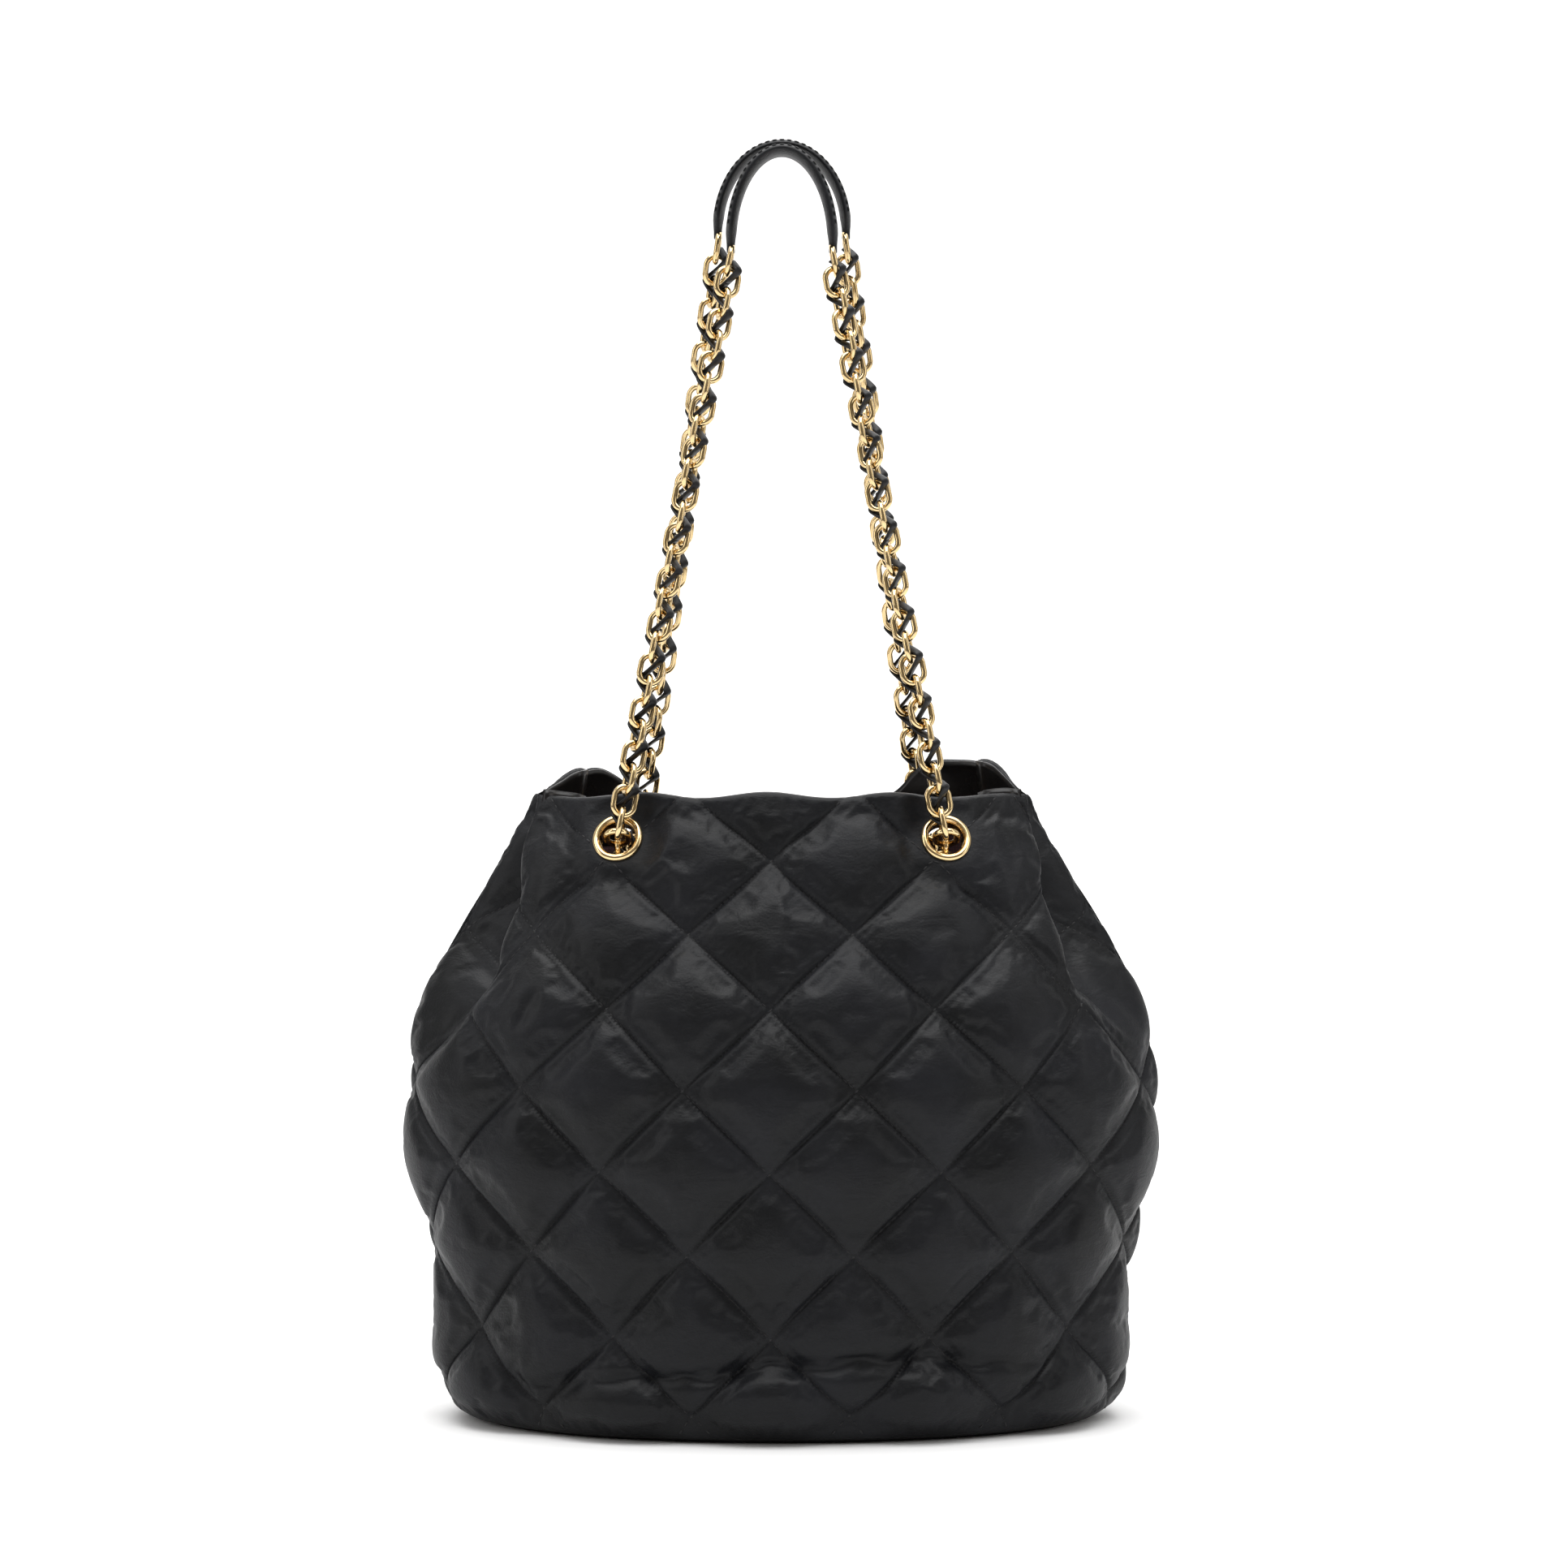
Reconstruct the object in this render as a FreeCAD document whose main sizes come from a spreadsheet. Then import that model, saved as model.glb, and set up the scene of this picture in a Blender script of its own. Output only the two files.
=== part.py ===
import FreeCAD, Part
import Sketcher
import math
import os
from FreeCAD import Placement, Rotation, Vector

# Quilted leather bucket bag with two chain handles.
# Millimetres, +Z up, front of the bag towards -Y, origin at the middle of the base on the floor.

doc = FreeCAD.newDocument("bucket_bag")

# ---------------------------------------------------------------- driving dimensions
SIZES = {
    # bag body
    "body_height": 300.0,
    "belly_half_width": 181.0,
    "belly_half_depth": 96.0,
    "rim_rise": 11.0,
    "leather_thickness": 1.4,
    "wadding_thickness": 4.6,
    "facing_thickness": 1.2,
    "lining_thickness": 1.0,
    "layer_gap": 0.2,
    "facing_depth": 40.0,
    "base_thickness": 3.5,
    "board_thickness": 2.0,
    # eyelets
    "front_eyelet_offset": 77.0,
    "front_eyelet_drop": 23.0,
    "back_eyelet_offset": 70.0,
    "back_eyelet_drop": 24.0,
    "eyelet_bead_radius": 1.8,
    "eyelet_barrel_wall": 0.9,
    "eyelet_grip": 4.5,
    "eyelet_lip_radius": 1.1,
    "eyelet_sink": 1.5,
    "washer_thickness": 1.0,
    "seat_clearance": 0.3,
    "eyelet_tilt": 27.0,
    "eyelet_turn": 10.0,
    # chain
    "link_wire": 2.9,
    "link_length": "=link_wire * 5.76",
    "link_width": "=link_wire * 4.48",
    "bore_clearance": "=link_wire * 0.655",
    "eyelet_bore_radius": "=link_width / 2 + bore_clearance",
    "link_clearance": 0.3,
    "links_per_run": 27,
    "links_below_fold": 14,
    "links_inside": 9,
    "hinge_reach": "=link_wire * 2.62",
    "lace_radius": "=link_wire * 0.345",
    "lace_swing": "=link_wire * 1.55",
    "lace_bend": "=link_wire * 0.76",
    # shoulder pads
    "pad_width": 20.0,
    "pad_thickness": 5.0,
    "pad_gap": 2.0,
    "front_arch_half_width": 24.0,
    "front_arch_height": 48.0,
    "back_arch_half_width": 30.5,
    "back_arch_height": 44.0,
    "lug_radius": 3.2,
    # magnetic snap
    "snap_radius": 9.0,
    "snap_drop": 20.0,
    "snap_socket_height": 3.0,
    "snap_stud_height": 2.2,
    "snap_pin_radius": 3.0,
    "snap_pin_height": 1.8,
    # hanging zip pocket
    "pocket_half_width": 58.0,
    "pocket_depth": 8.0,
    "pocket_height": 112.0,
    "pocket_wall": 1.0,
    "zip_half_length": 50.0,
    "zip_drop": 20.0,
    "zip_window": 9.0,
    "tooth_pitch": 2.8,
    "tooth_length": 1.6,
    "slider_length": 8.0,
    "slider_height": 7.0,
    "puller_length": 24.0,
}

sheet = doc.addObject("Spreadsheet::Sheet", "Sizes")
for row, (alias, value) in enumerate(SIZES.items(), start=1):
    sheet.set("A%d" % row, alias)
    sheet.setAlias("B%d" % row, alias)
    sheet.set("B%d" % row, str(value))
doc.recompute()


def size(alias):
    """Value of one driving dimension."""
    return float(sheet.get(alias))


def bind(thing, **expressions):
    """Bind properties of a document object to expressions on the sheet."""
    for name, expression in expressions.items():
        thing.setExpression(name.replace("__", "."), expression)
    return thing


def add(kind, name, place=None, **expressions):
    """New document object of a kind, bound to the sheet, at a placement."""
    thing = doc.addObject(kind, name)
    if place is not None:
        thing.Placement = place
    return bind(thing, **expressions)


def cut(name, base, tool):
    """Base less tool."""
    thing = doc.addObject("Part::Cut", name)
    thing.Base = base
    thing.Tool = tool
    return thing


def common(name, base, tool):
    """What base and tool share."""
    thing = doc.addObject("Part::Common", name)
    thing.Base = base
    thing.Tool = tool
    return thing


def fuse(name, shapes):
    """Several objects joined into one."""
    thing = doc.addObject("Part::MultiFuse", name)
    thing.Shapes = shapes
    return thing


def feature(name, shape, place=None):
    """Object whose shape is worked out here, placed after it has its shape."""
    thing = doc.addObject("Part::Feature", name)
    thing.Shape = shape
    if place is not None:
        thing.Placement = place
    return thing


NODES = {}


def node(name, thing):
    """Name a finished sub-part, which becomes one file."""
    thing.Label = name
    NODES[name] = thing
    return thing


def frame_on(point, axis, across):
    """Placement whose Z runs along axis and whose X lies as near across as it can."""
    return Placement(point, Rotation(across, Vector(), axis, "ZXY"))


# ---------------------------------------------------------------- body of the bag
# Shares of body height, belly half-width and belly half-depth at each level of the profile.
PROFILE = (
    (0.000, 0.801, 0.792),
    (0.027, 0.884, 0.875),
    (0.083, 0.923, 0.938),
    (0.167, 0.912, 0.938),
    (0.300, 0.950, 0.979),
    (0.500, 1.000, 1.000),
    (0.667, 0.961, 0.917),
    (0.800, 0.845, 0.760),
    (0.900, 0.746, 0.646),
    (1.000, 0.657, 0.542),
    (1.080, 0.608, 0.479),
)


def profile_loft(name, inset):
    """Solid of the bag's outer shape, taken in by an expression on the sheet."""
    rings = []
    for level, (up, wide, deep) in enumerate(PROFILE):
        ring = add(
            "Part::Ellipse",
            "%s_ring_%02d" % (name, level),
            MajorRadius="Sizes.belly_half_width * %s - (%s)" % (wide, inset),
            MinorRadius="Sizes.belly_half_depth * %s - (%s)" % (deep, inset),
            Placement__Base__z="Sizes.body_height * %s" % up,
        )
        rings.append(ring)
    loft = doc.addObject("Part::Loft", name)
    loft.Sections = rings
    loft.Solid = True
    loft.Ruled = False
    return loft


LEATHER = "Sizes.leather_thickness"
WADDING = LEATHER + " + Sizes.layer_gap + Sizes.wadding_thickness"
LINING = WADDING + " + Sizes.layer_gap"
form_outside = profile_loft("form_outside", "0")
form_leather = profile_loft("form_leather", LEATHER)
form_wadding_outside = profile_loft("form_wadding_outside", LEATHER + " + Sizes.layer_gap")
form_wadding = profile_loft("form_wadding", WADDING)
form_lining_outside = profile_loft("form_lining_outside", LINING)
form_lining = profile_loft("form_lining", LINING + " + Sizes.lining_thickness")
form_facing = profile_loft("form_facing", LINING + " + Sizes.facing_thickness")
doc.recompute()

skin_ring = cut("skin_ring", form_outside, form_leather)
wadding_ring = cut("wadding_ring", form_wadding_outside, form_wadding)
lining_ring = cut("lining_ring", form_lining_outside, form_lining)
facing_ring = cut("facing_ring", form_lining_outside, form_facing)

HALF_SIGN = {"front": -1, "back": 1}
ROOM = 250.0
RIM_HALF_DEPTH = size("belly_half_depth") * PROFILE[-2][2]
RIM_SLOPE = math.degrees(math.atan2(size("rim_rise"), 2 * RIM_HALF_DEPTH))


def rim_height(y):
    """Height of the rim where it passes a depth y."""
    return size("body_height") + size("rim_rise") * (y + RIM_HALF_DEPTH) / (2 * RIM_HALF_DEPTH)


def band(name, half, low, drop):
    """Block that holds one half of the bag, from low up to a drop below the sloping rim."""
    tall = size("body_height") * 1.3
    block = Part.makeBox(2 * ROOM, ROOM, tall - low, Vector(-ROOM, 0 if half == "back" else -ROOM, low))
    above = Part.makeBox(2 * ROOM, 3 * ROOM, tall, Vector(-ROOM, -ROOM * 1.5, 0))
    above.rotate(Vector(), Vector(1, 0, 0), RIM_SLOPE)
    above.translate(Vector(0, 0, rim_height(0) - drop))
    return feature(name, block.cut(above))


# ---------------------------------------------------------------- where the eyelets sit
def wall_point(form, x, z, half):
    """Point of a form's side wall at a given x and height, on the front or the back."""
    reach = Part.makeLine(Vector(x, 0, z), Vector(x, HALF_SIGN[half] * ROOM, z))
    inside = form.Shape.common(reach)
    return max((v.Point for v in inside.Vertexes), key=lambda p: abs(p.y))


SIDE_SIGN = {"left": -1, "right": 1}
PLACES = [(half, side) for half in ("front", "back") for side in ("left", "right")]


def outward(half):
    """Direction in which the chain leaves the eyelets of one half."""
    tilt = math.radians(size("eyelet_tilt"))
    return Vector(0, HALF_SIGN[half] * math.cos(tilt), math.sin(tilt))


eyelet_seats = {}
eyelet_axes = {}
for half, side in PLACES:
    offset = SIDE_SIGN[side] * size(half + "_eyelet_offset")
    rim_y = wall_point(form_outside, offset, size("body_height"), half).y
    height = rim_height(rim_y) - size(half + "_eyelet_drop")
    turn = HALF_SIGN[half] * SIDE_SIGN[side] * -size("eyelet_turn")
    axis = Rotation(Vector(0, 0, 1), turn).multVec(outward(half))
    surface = wall_point(form_outside, offset, height, half)
    eyelet_seats[half, side] = surface - axis * size("eyelet_sink")
    eyelet_axes[half, side] = axis


def eyelet_place(half, side, along=0.0):
    """Frame of one eyelet: Z outwards, zero on the face that its bead sits on."""
    axis = eyelet_axes[half, side]
    return frame_on(eyelet_seats[half, side] + axis * along, axis, Vector(1, 0, 0))


# ---------------------------------------------------------------- holes for eyelets
BEAD_OUTSIDE = "Sizes.eyelet_bore_radius + 2 * Sizes.eyelet_bead_radius"
BARREL_OUTSIDE = "Sizes.eyelet_bore_radius + Sizes.eyelet_barrel_wall"
GRIP = size("eyelet_grip")
RECESS = 14.0


def eyelet_cutters(half):
    """Stepped holes for both eyelets of one half."""
    cutters = []
    for side in ("left", "right"):
        tag = "%s_%s" % (half, side)
        through = add(
            "Part::Cylinder",
            "hole_" + tag,
            eyelet_place(half, side, -GRIP - RECESS),
            Radius=BARREL_OUTSIDE + " + Sizes.seat_clearance",
            Height="Sizes.eyelet_grip + %s" % (2 * RECESS),
        )
        outer = add(
            "Part::Cylinder",
            "seat_" + tag,
            eyelet_place(half, side),
            Radius=BEAD_OUTSIDE + " + Sizes.seat_clearance",
            Height=str(RECESS),
        )
        inner = add(
            "Part::Cylinder",
            "washer_seat_" + tag,
            eyelet_place(half, side, -GRIP - RECESS),
            Radius=BEAD_OUTSIDE + " + Sizes.seat_clearance",
            Height=str(RECESS),
        )
        cutters += [through, outer, inner]
    return fuse("eyelet_cutters_" + half, cutters)


# ---------------------------------------------------------------- panels, wadding, lining, facings
base_top = size("base_thickness")
board_top = base_top + size("layer_gap") + size("board_thickness")
lining_top = board_top + size("layer_gap") + size("lining_thickness")
layer_start = lining_top + size("layer_gap")
facing_depth = size("facing_depth")
turn_in = size("leather_thickness") + size("layer_gap")

for half in ("front", "back"):
    cutters = eyelet_cutters(half)
    panel_room = band("panel_room_" + half, half, 0.0, 0.0)
    panel_half = common("panel_half_" + half, skin_ring, panel_room)
    node(half + "_panel", cut(half + "_panel", panel_half, cutters))
    wadding_room = band("wadding_room_" + half, half, layer_start, turn_in)
    wadding_half = common("wadding_half_" + half, wadding_ring, wadding_room)
    node(half + "_wadding", cut(half + "_wadding", wadding_half, cutters))
    full_room = band("facing_full_" + half, half, layer_start, 0.0)
    lining_room = band("lining_room_" + half, half, layer_start, facing_depth + size("layer_gap"))
    facing_low = band("facing_low_" + half, half, 0.0, facing_depth)
    facing_room = cut("facing_room_" + half, full_room, facing_low)
    facing_half = common("facing_half_" + half, facing_ring, facing_room)
    node(half + "_facing", cut(half + "_facing", facing_half, cutters))
    node(half + "_lining", common(half + "_lining", lining_ring, lining_room))


def oval_plate(name, wide, deep, low, thickness):
    """Oval plate as a padded sketch, its half-widths and thickness bound to the sheet."""
    body = doc.addObject("PartDesign::Body", name)
    sketch = body.newObject("Sketcher::SketchObject", name + "_outline")
    plane = [f for f in body.Origin.OriginFeatures if f.Role == "XY_Plane"][0]
    sketch.AttachmentSupport = [(plane, "")]
    sketch.MapMode = "FlatFace"
    sketch.addGeometry(Part.Ellipse(Vector(150, 0, 0), Vector(0, 75, 0), Vector()), False)
    sketch.exposeInternalGeometry(0)
    constraint = Sketcher.Constraint
    origin = (-1, 1)
    sketch.addConstraint(constraint("Coincident", 0, 3, *origin))
    sketch.addConstraint(constraint("PointOnObject", 1, 1, -1))
    wide_at = sketch.addConstraint(constraint("Distance", 1, 300.0))
    deep_at = sketch.addConstraint(constraint("Distance", 2, 150.0))
    sketch.setExpression("Constraints[%d]" % wide_at, "2 * (%s)" % wide)
    sketch.setExpression("Constraints[%d]" % deep_at, "2 * (%s)" % deep)
    pad = body.newObject("PartDesign::Pad", name + "_pad")
    pad.Profile = sketch
    pad.setExpression("Length", thickness)
    body.Placement = Placement(Vector(0, 0, low), Rotation())
    return node(name, body)


FLOOR_WIDE = "Sizes.belly_half_width * %s" % PROFILE[0][1]
FLOOR_DEEP = "Sizes.belly_half_depth * %s" % PROFILE[0][2]
INSIDE = " - Sizes.leather_thickness - Sizes.layer_gap"
BOARD_INSET = " - 4"
LINING_SPREAD = " + 6"
oval_plate("base_panel", FLOOR_WIDE + INSIDE, FLOOR_DEEP + INSIDE, 0.0, "Sizes.base_thickness")
oval_plate(
    "base_board",
    FLOOR_WIDE + INSIDE + BOARD_INSET,
    FLOOR_DEEP + INSIDE + BOARD_INSET,
    base_top + size("layer_gap"),
    "Sizes.board_thickness",
)
oval_plate(
    "base_lining",
    FLOOR_WIDE + INSIDE + LINING_SPREAD,
    FLOOR_DEEP + INSIDE + LINING_SPREAD,
    board_top + size("layer_gap"),
    "Sizes.lining_thickness",
)

# ---------------------------------------------------------------- eyelets and their washers
def eyelet_profile():
    """Section of an eyelet in XZ: domed bead outside, barrel, and lip rolled over the washer."""
    bore = size("eyelet_bore_radius")
    bead = size("eyelet_bead_radius")
    lip = size("eyelet_lip_radius")
    barrel = bore + size("eyelet_barrel_wall")
    back = -GRIP - size("washer_thickness")
    corners = [(bore, 0), (bore + 2 * bead, 0), (barrel, 0), (barrel, back), (bore + 2 * lip, back), (bore, back)]
    rim_in, rim_out, neck, foot, lip_out, lip_in = [Vector(r, 0, z) for r, z in corners]
    dome = Part.Arc(rim_in, Vector(bore + bead, 0, bead), rim_out).toShape()
    roll = Part.Arc(lip_out, Vector(bore + lip, 0, back - lip), lip_in).toShape()
    lines = [(rim_out, neck), (neck, foot), (foot, lip_out), (lip_in, rim_in)]
    edges = [dome, roll] + [Part.makeLine(a, b) for a, b in lines]
    return Part.Face(Part.Wire(Part.__sortEdges__(edges)))


for half, side in PLACES:
    tag = "%s_%s" % (half, side)
    turned = eyelet_profile().revolve(Vector(), Vector(0, 0, 1), 360)
    node("eyelet_" + tag, feature("eyelet_" + tag, turned, eyelet_place(half, side)))
    disc = add(
        "Part::Cylinder",
        "washer_disc_" + tag,
        eyelet_place(half, side, -GRIP - size("washer_thickness")),
        Radius=BEAD_OUTSIDE,
        Height="Sizes.washer_thickness",
    )
    eye = add(
        "Part::Cylinder",
        "washer_eye_" + tag,
        eyelet_place(half, side, -GRIP - RECESS),
        Radius=BARREL_OUTSIDE + " + Sizes.layer_gap / 2",
        Height="Sizes.eyelet_grip + %s" % (2 * RECESS),
    )
    node("eyelet_washer_" + tag, cut("eyelet_washer_" + tag, disc, eye))

# ---------------------------------------------------------------- one link of chain
PITCH = size("link_length") - 2 * size("link_wire") - size("link_clearance")
WIRE_REACH = (size("link_length") - size("link_wire")) / 2


def link_form(name, extra):
    """Oval ring of round wire, long way along Z, lying in XZ, its wire fatter by an expression."""
    side = "(Sizes.link_width - Sizes.link_wire) / 2"
    straight = "Sizes.link_length - Sizes.link_width"
    wire = "Sizes.link_wire / 2 + " + extra
    pieces = []
    for sign in (1, -1):
        bend = add(
            "Part::Torus",
            "%s_bend_%s" % (name, "top" if sign > 0 else "bottom"),
            Placement(Vector(), Rotation(Vector(1, 0, 0), 90 * sign)),
            Radius1=side,
            Radius2=wire,
            Placement__Base__z="%d * (%s) / 2" % (sign, straight),
        )
        bend.Angle3 = 180
        leg = add(
            "Part::Cylinder",
            "%s_leg_%s" % (name, "right" if sign > 0 else "left"),
            Radius=wire,
            Height=straight,
            Placement__Base__x="%d * (%s)" % (sign, side),
            Placement__Base__z="-(%s) / 2" % straight,
        )
        pieces += [bend, leg]
    return fuse(name, pieces)


link = link_form("link_form", "0")
link_room = link_form("link_room", "Sizes.seat_clearance")
doc.recompute()


def linked(form, centre, along, across):
    """Copy of a link form at a centre, long way along one direction and wide way across."""
    copy = form.Shape.copy()
    copy.Placement = frame_on(centre, along, across)
    return copy


# ---------------------------------------------------------------- lace woven through the links
def lace(points):
    """Round lace along a zigzag of straight runs joined by small tangent arcs."""
    bend = size("lace_bend")
    edges = []
    start = points[0]
    for before, corner, after in zip(points, points[1:], points[2:]):
        away = (before - corner).normalize()
        onward = (after - corner).normalize()
        half_angle = away.getAngle(onward) / 2
        trim = bend / math.tan(half_angle)
        middle = (away + onward).normalize()
        arc_start = corner + away * trim
        arc_end = corner + onward * trim
        arc_middle = corner + middle * (bend / math.sin(half_angle) - bend)
        edges.append(Part.makeLine(start, arc_start))
        edges.append(Part.Arc(arc_start, arc_middle, arc_end).toShape())
        start = arc_end
    edges.append(Part.makeLine(start, points[-1]))
    path = Part.Wire(edges)
    first = (points[1] - points[0]).normalize()
    ring = Part.Wire([Part.makeCircle(size("lace_radius"), points[0], first)])
    tube = path.makePipeShell([ring], True, True)
    section = math.pi * size("lace_radius") ** 2
    print("lace volume ratio %.3f" % (tube.Volume / (section * path.Length)))
    return tube


def woven(centres, alongs):
    """Lace that crosses each link's middle and swings out beside each interlock."""
    swing = size("lace_swing")
    points = [centres[0]]
    sign = 1
    for here, there, first, second in zip(centres, centres[1:], alongs, alongs[1:]):
        along = (first + second).normalize()
        across = (Vector(0, 1, 0) - along * along.y).normalize()
        beside = along.cross(across)
        points.append((here + there) * 0.5 + (across + beside) * (swing * sign))
        sign = -sign
    points.append(centres[-1])
    return lace(points)


# ---------------------------------------------------------------- handles
hinges = {}
joint_points = {}
handle_runs = {}
run_count = int(size("links_per_run"))
fold_count = int(size("links_below_fold"))
SECTION_OF_RUN = {
    "lower": range(1, fold_count + 1),
    "upper": range(fold_count + 1, run_count),
    "pad": range(run_count, run_count + 1),
}


def run_axes(along):
    """Wide directions of the edge-on and the facing links of a straight run."""
    edge_on = (Vector(0, 1, 0) - along * along.y).normalize()
    facing = along.cross(edge_on)
    return edge_on, facing


def across_of(number, along):
    """Wide direction of a link: odd links stand edge-on, even ones face forwards."""
    edge_on, facing = run_axes(along)
    return edge_on if number % 2 else facing


for half, side in PLACES:
    static_centre = eyelet_seats[half, side] + outward(half) * (size("hinge_reach") - WIRE_REACH)
    hinge = static_centre + outward(half) * WIRE_REACH
    target_x = SIDE_SIGN[side] * size(half + "_arch_half_width")
    target_y = HALF_SIGN[half] * (size("pad_width") + size("pad_gap")) / 2
    flat = Vector(target_x - hinge.x, target_y - hinge.y, 0)
    overlap = WIRE_REACH - PITCH / 2
    rise = math.sqrt((run_count * PITCH - overlap) ** 2 - flat.Length ** 2)
    along = Vector(flat.x, flat.y, rise).normalize()
    start = hinge - along * overlap
    centres = {n: start + along * (PITCH * (n - 0.5)) for n in range(1, run_count + 1)}
    handle_runs[half, side] = (centres, along)
    hinges[half, side] = (static_centre, hinge)
    joint_points[half, "swing"] = hinge
    joint_points[half, "fold"] = centres[fold_count] + along * WIRE_REACH
    joint_points[half, "tilt"] = centres[run_count - 1] + along * WIRE_REACH
    tag = "%s_%s" % (half, side)
    for part_of_run in ("lower", "upper"):
        numbers = list(SECTION_OF_RUN[part_of_run])
        shapes = [linked(link, centres[n], along, across_of(n, along)) for n in numbers]
        name = "%s_chain_%s_%s" % (half, part_of_run, side)
        node(name, feature(name, Part.makeCompound(shapes)))
        lace_name = "%s_lace_%s_%s" % (half, part_of_run, side)
        woven_through = woven([centres[n] for n in numbers], [along] * len(numbers))
        node(lace_name, feature(lace_name, woven_through))

# ---------------------------------------------------------------- chain inside the bag
def sagging_angles(count, reach):
    """Slopes of equal links hung between two level points, the same on both sides of the middle."""
    low, high = 0.0, 5.0
    for _ in range(60):
        bow = (low + high) / 2
        slopes = [math.atan(bow * (i - (count - 1) / 2) / count) for i in range(count)]
        if sum(math.cos(slope) for slope in slopes) * PITCH > reach:
            low = bow
        else:
            high = bow
    return slopes


for side in ("left", "right"):
    front_centre = hinges["front", side][0]
    back_centre = hinges["back", side][0]
    begin = front_centre - outward("front") * (PITCH / 2)
    finish = back_centre - outward("back") * (PITCH / 2)
    chord = finish - begin
    count = int(size("links_inside"))
    forward = Vector(chord.x, chord.y, chord.z).normalize()
    upward = (Vector(0, 0, 1) - forward * forward.z).normalize()
    centres = [front_centre]
    alongs = [outward("front") * -1]
    point = begin
    for slope in sagging_angles(count, chord.Length):
        along = forward * math.cos(slope) + upward * math.sin(slope)
        centres.append(point + along * (PITCH / 2))
        alongs.append(along)
        point = point + along * PITCH
    centres.append(back_centre)
    alongs.append(outward("back"))
    shapes = []
    for number, (centre, along) in enumerate(zip(centres, alongs)):
        side_way = Vector(1, 0, 0) - along * along.x
        standing = along.cross(side_way)
        across = side_way if number % 2 == 0 else standing
        shapes.append(linked(link, centre, along, across.normalize()))
    name = "inner_chain_" + side
    node(name, feature(name, Part.makeCompound(shapes)))

    # the lace follows the same links, from the first to the last that hangs free
    swing = size("lace_swing")
    points = [centres[1]]
    sign = 1
    for here, there, first, second in zip(centres[1:], centres[2:-1], alongs[1:], alongs[2:]):
        along = (first + second).normalize()
        side_way = (Vector(1, 0, 0) - along * along.x).normalize()
        standing = along.cross(side_way)
        points.append((here + there) * 0.5 + (side_way + standing) * (swing * sign))
        sign = -sign
    points.append(centres[-2])
    lace_name = "inner_lace_" + side
    node(lace_name, feature(lace_name, lace(points)))

# ---------------------------------------------------------------- shoulder pads
def arch_wire(half_width, height, offset, spring):
    """Half-oval arch in XZ, moved outwards from its middle line by an offset."""
    wide = half_width + offset
    tall = height + offset
    if tall >= wide:
        oval = Part.Ellipse(Vector(0, 0, spring + tall), Vector(wide, 0, spring), Vector(0, 0, spring))
        return oval.toShape(-math.pi / 2, math.pi / 2), wide, tall
    oval = Part.Ellipse(Vector(wide, 0, spring), Vector(0, 0, spring + tall), Vector(0, 0, spring))
    return oval.toShape(0, math.pi), wide, tall


for half in ("front", "back"):
    thick = size("pad_thickness")
    width = size("pad_width")
    centres, along = handle_runs[half, "right"]
    last = centres[run_count]
    wire_top = last + along * WIRE_REACH
    lug = size("lug_radius")
    spring = wire_top.z + lug * 0.6
    arch_half = abs(wire_top.x)
    tall = size(half + "_arch_height") - (spring - (last + along * (PITCH / 2)).z)
    outer, wide_out, _ = arch_wire(arch_half, tall, thick / 2, spring)
    inner, wide_in, _ = arch_wire(arch_half, tall, -thick / 2, spring)
    feet = [
        Part.makeLine(Vector(sign * wide_in, 0, spring), Vector(sign * wide_out, 0, spring))
        for sign in (1, -1)
    ]
    outline = Part.Wire(Part.__sortEdges__([outer, inner] + feet))
    strap = Part.Face(outline).extrude(Vector(0, width, 0))
    strap.translate(Vector(0, wire_top.y - width / 2, 0))
    lug_width = size("link_width") - 2 * size("link_wire") - 2 * size("seat_clearance")
    rooms = []
    for side in ("left", "right"):
        centres, along = handle_runs[half, side]
        top = centres[run_count] + along * WIRE_REACH
        corner = Vector(top.x, top.y - lug_width / 2, top.z)
        fold = Part.makeCylinder(lug, lug_width, corner, Vector(0, 1, 0))
        strap = strap.fuse(fold)
        across = across_of(run_count, along)
        rooms.append(linked(link_room, centres[run_count], along, across))
    pad_name = half + "_shoulder_pad"
    node(pad_name, feature(pad_name, strap.cut(rooms).removeSplitter()))
    ends = []
    for side in ("left", "right"):
        centres, along = handle_runs[half, side]
        ends.append(linked(link, centres[run_count], along, across_of(run_count, along)))
    link_name = half + "_pad_links"
    node(link_name, feature(link_name, Part.makeCompound(ends)))

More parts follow.
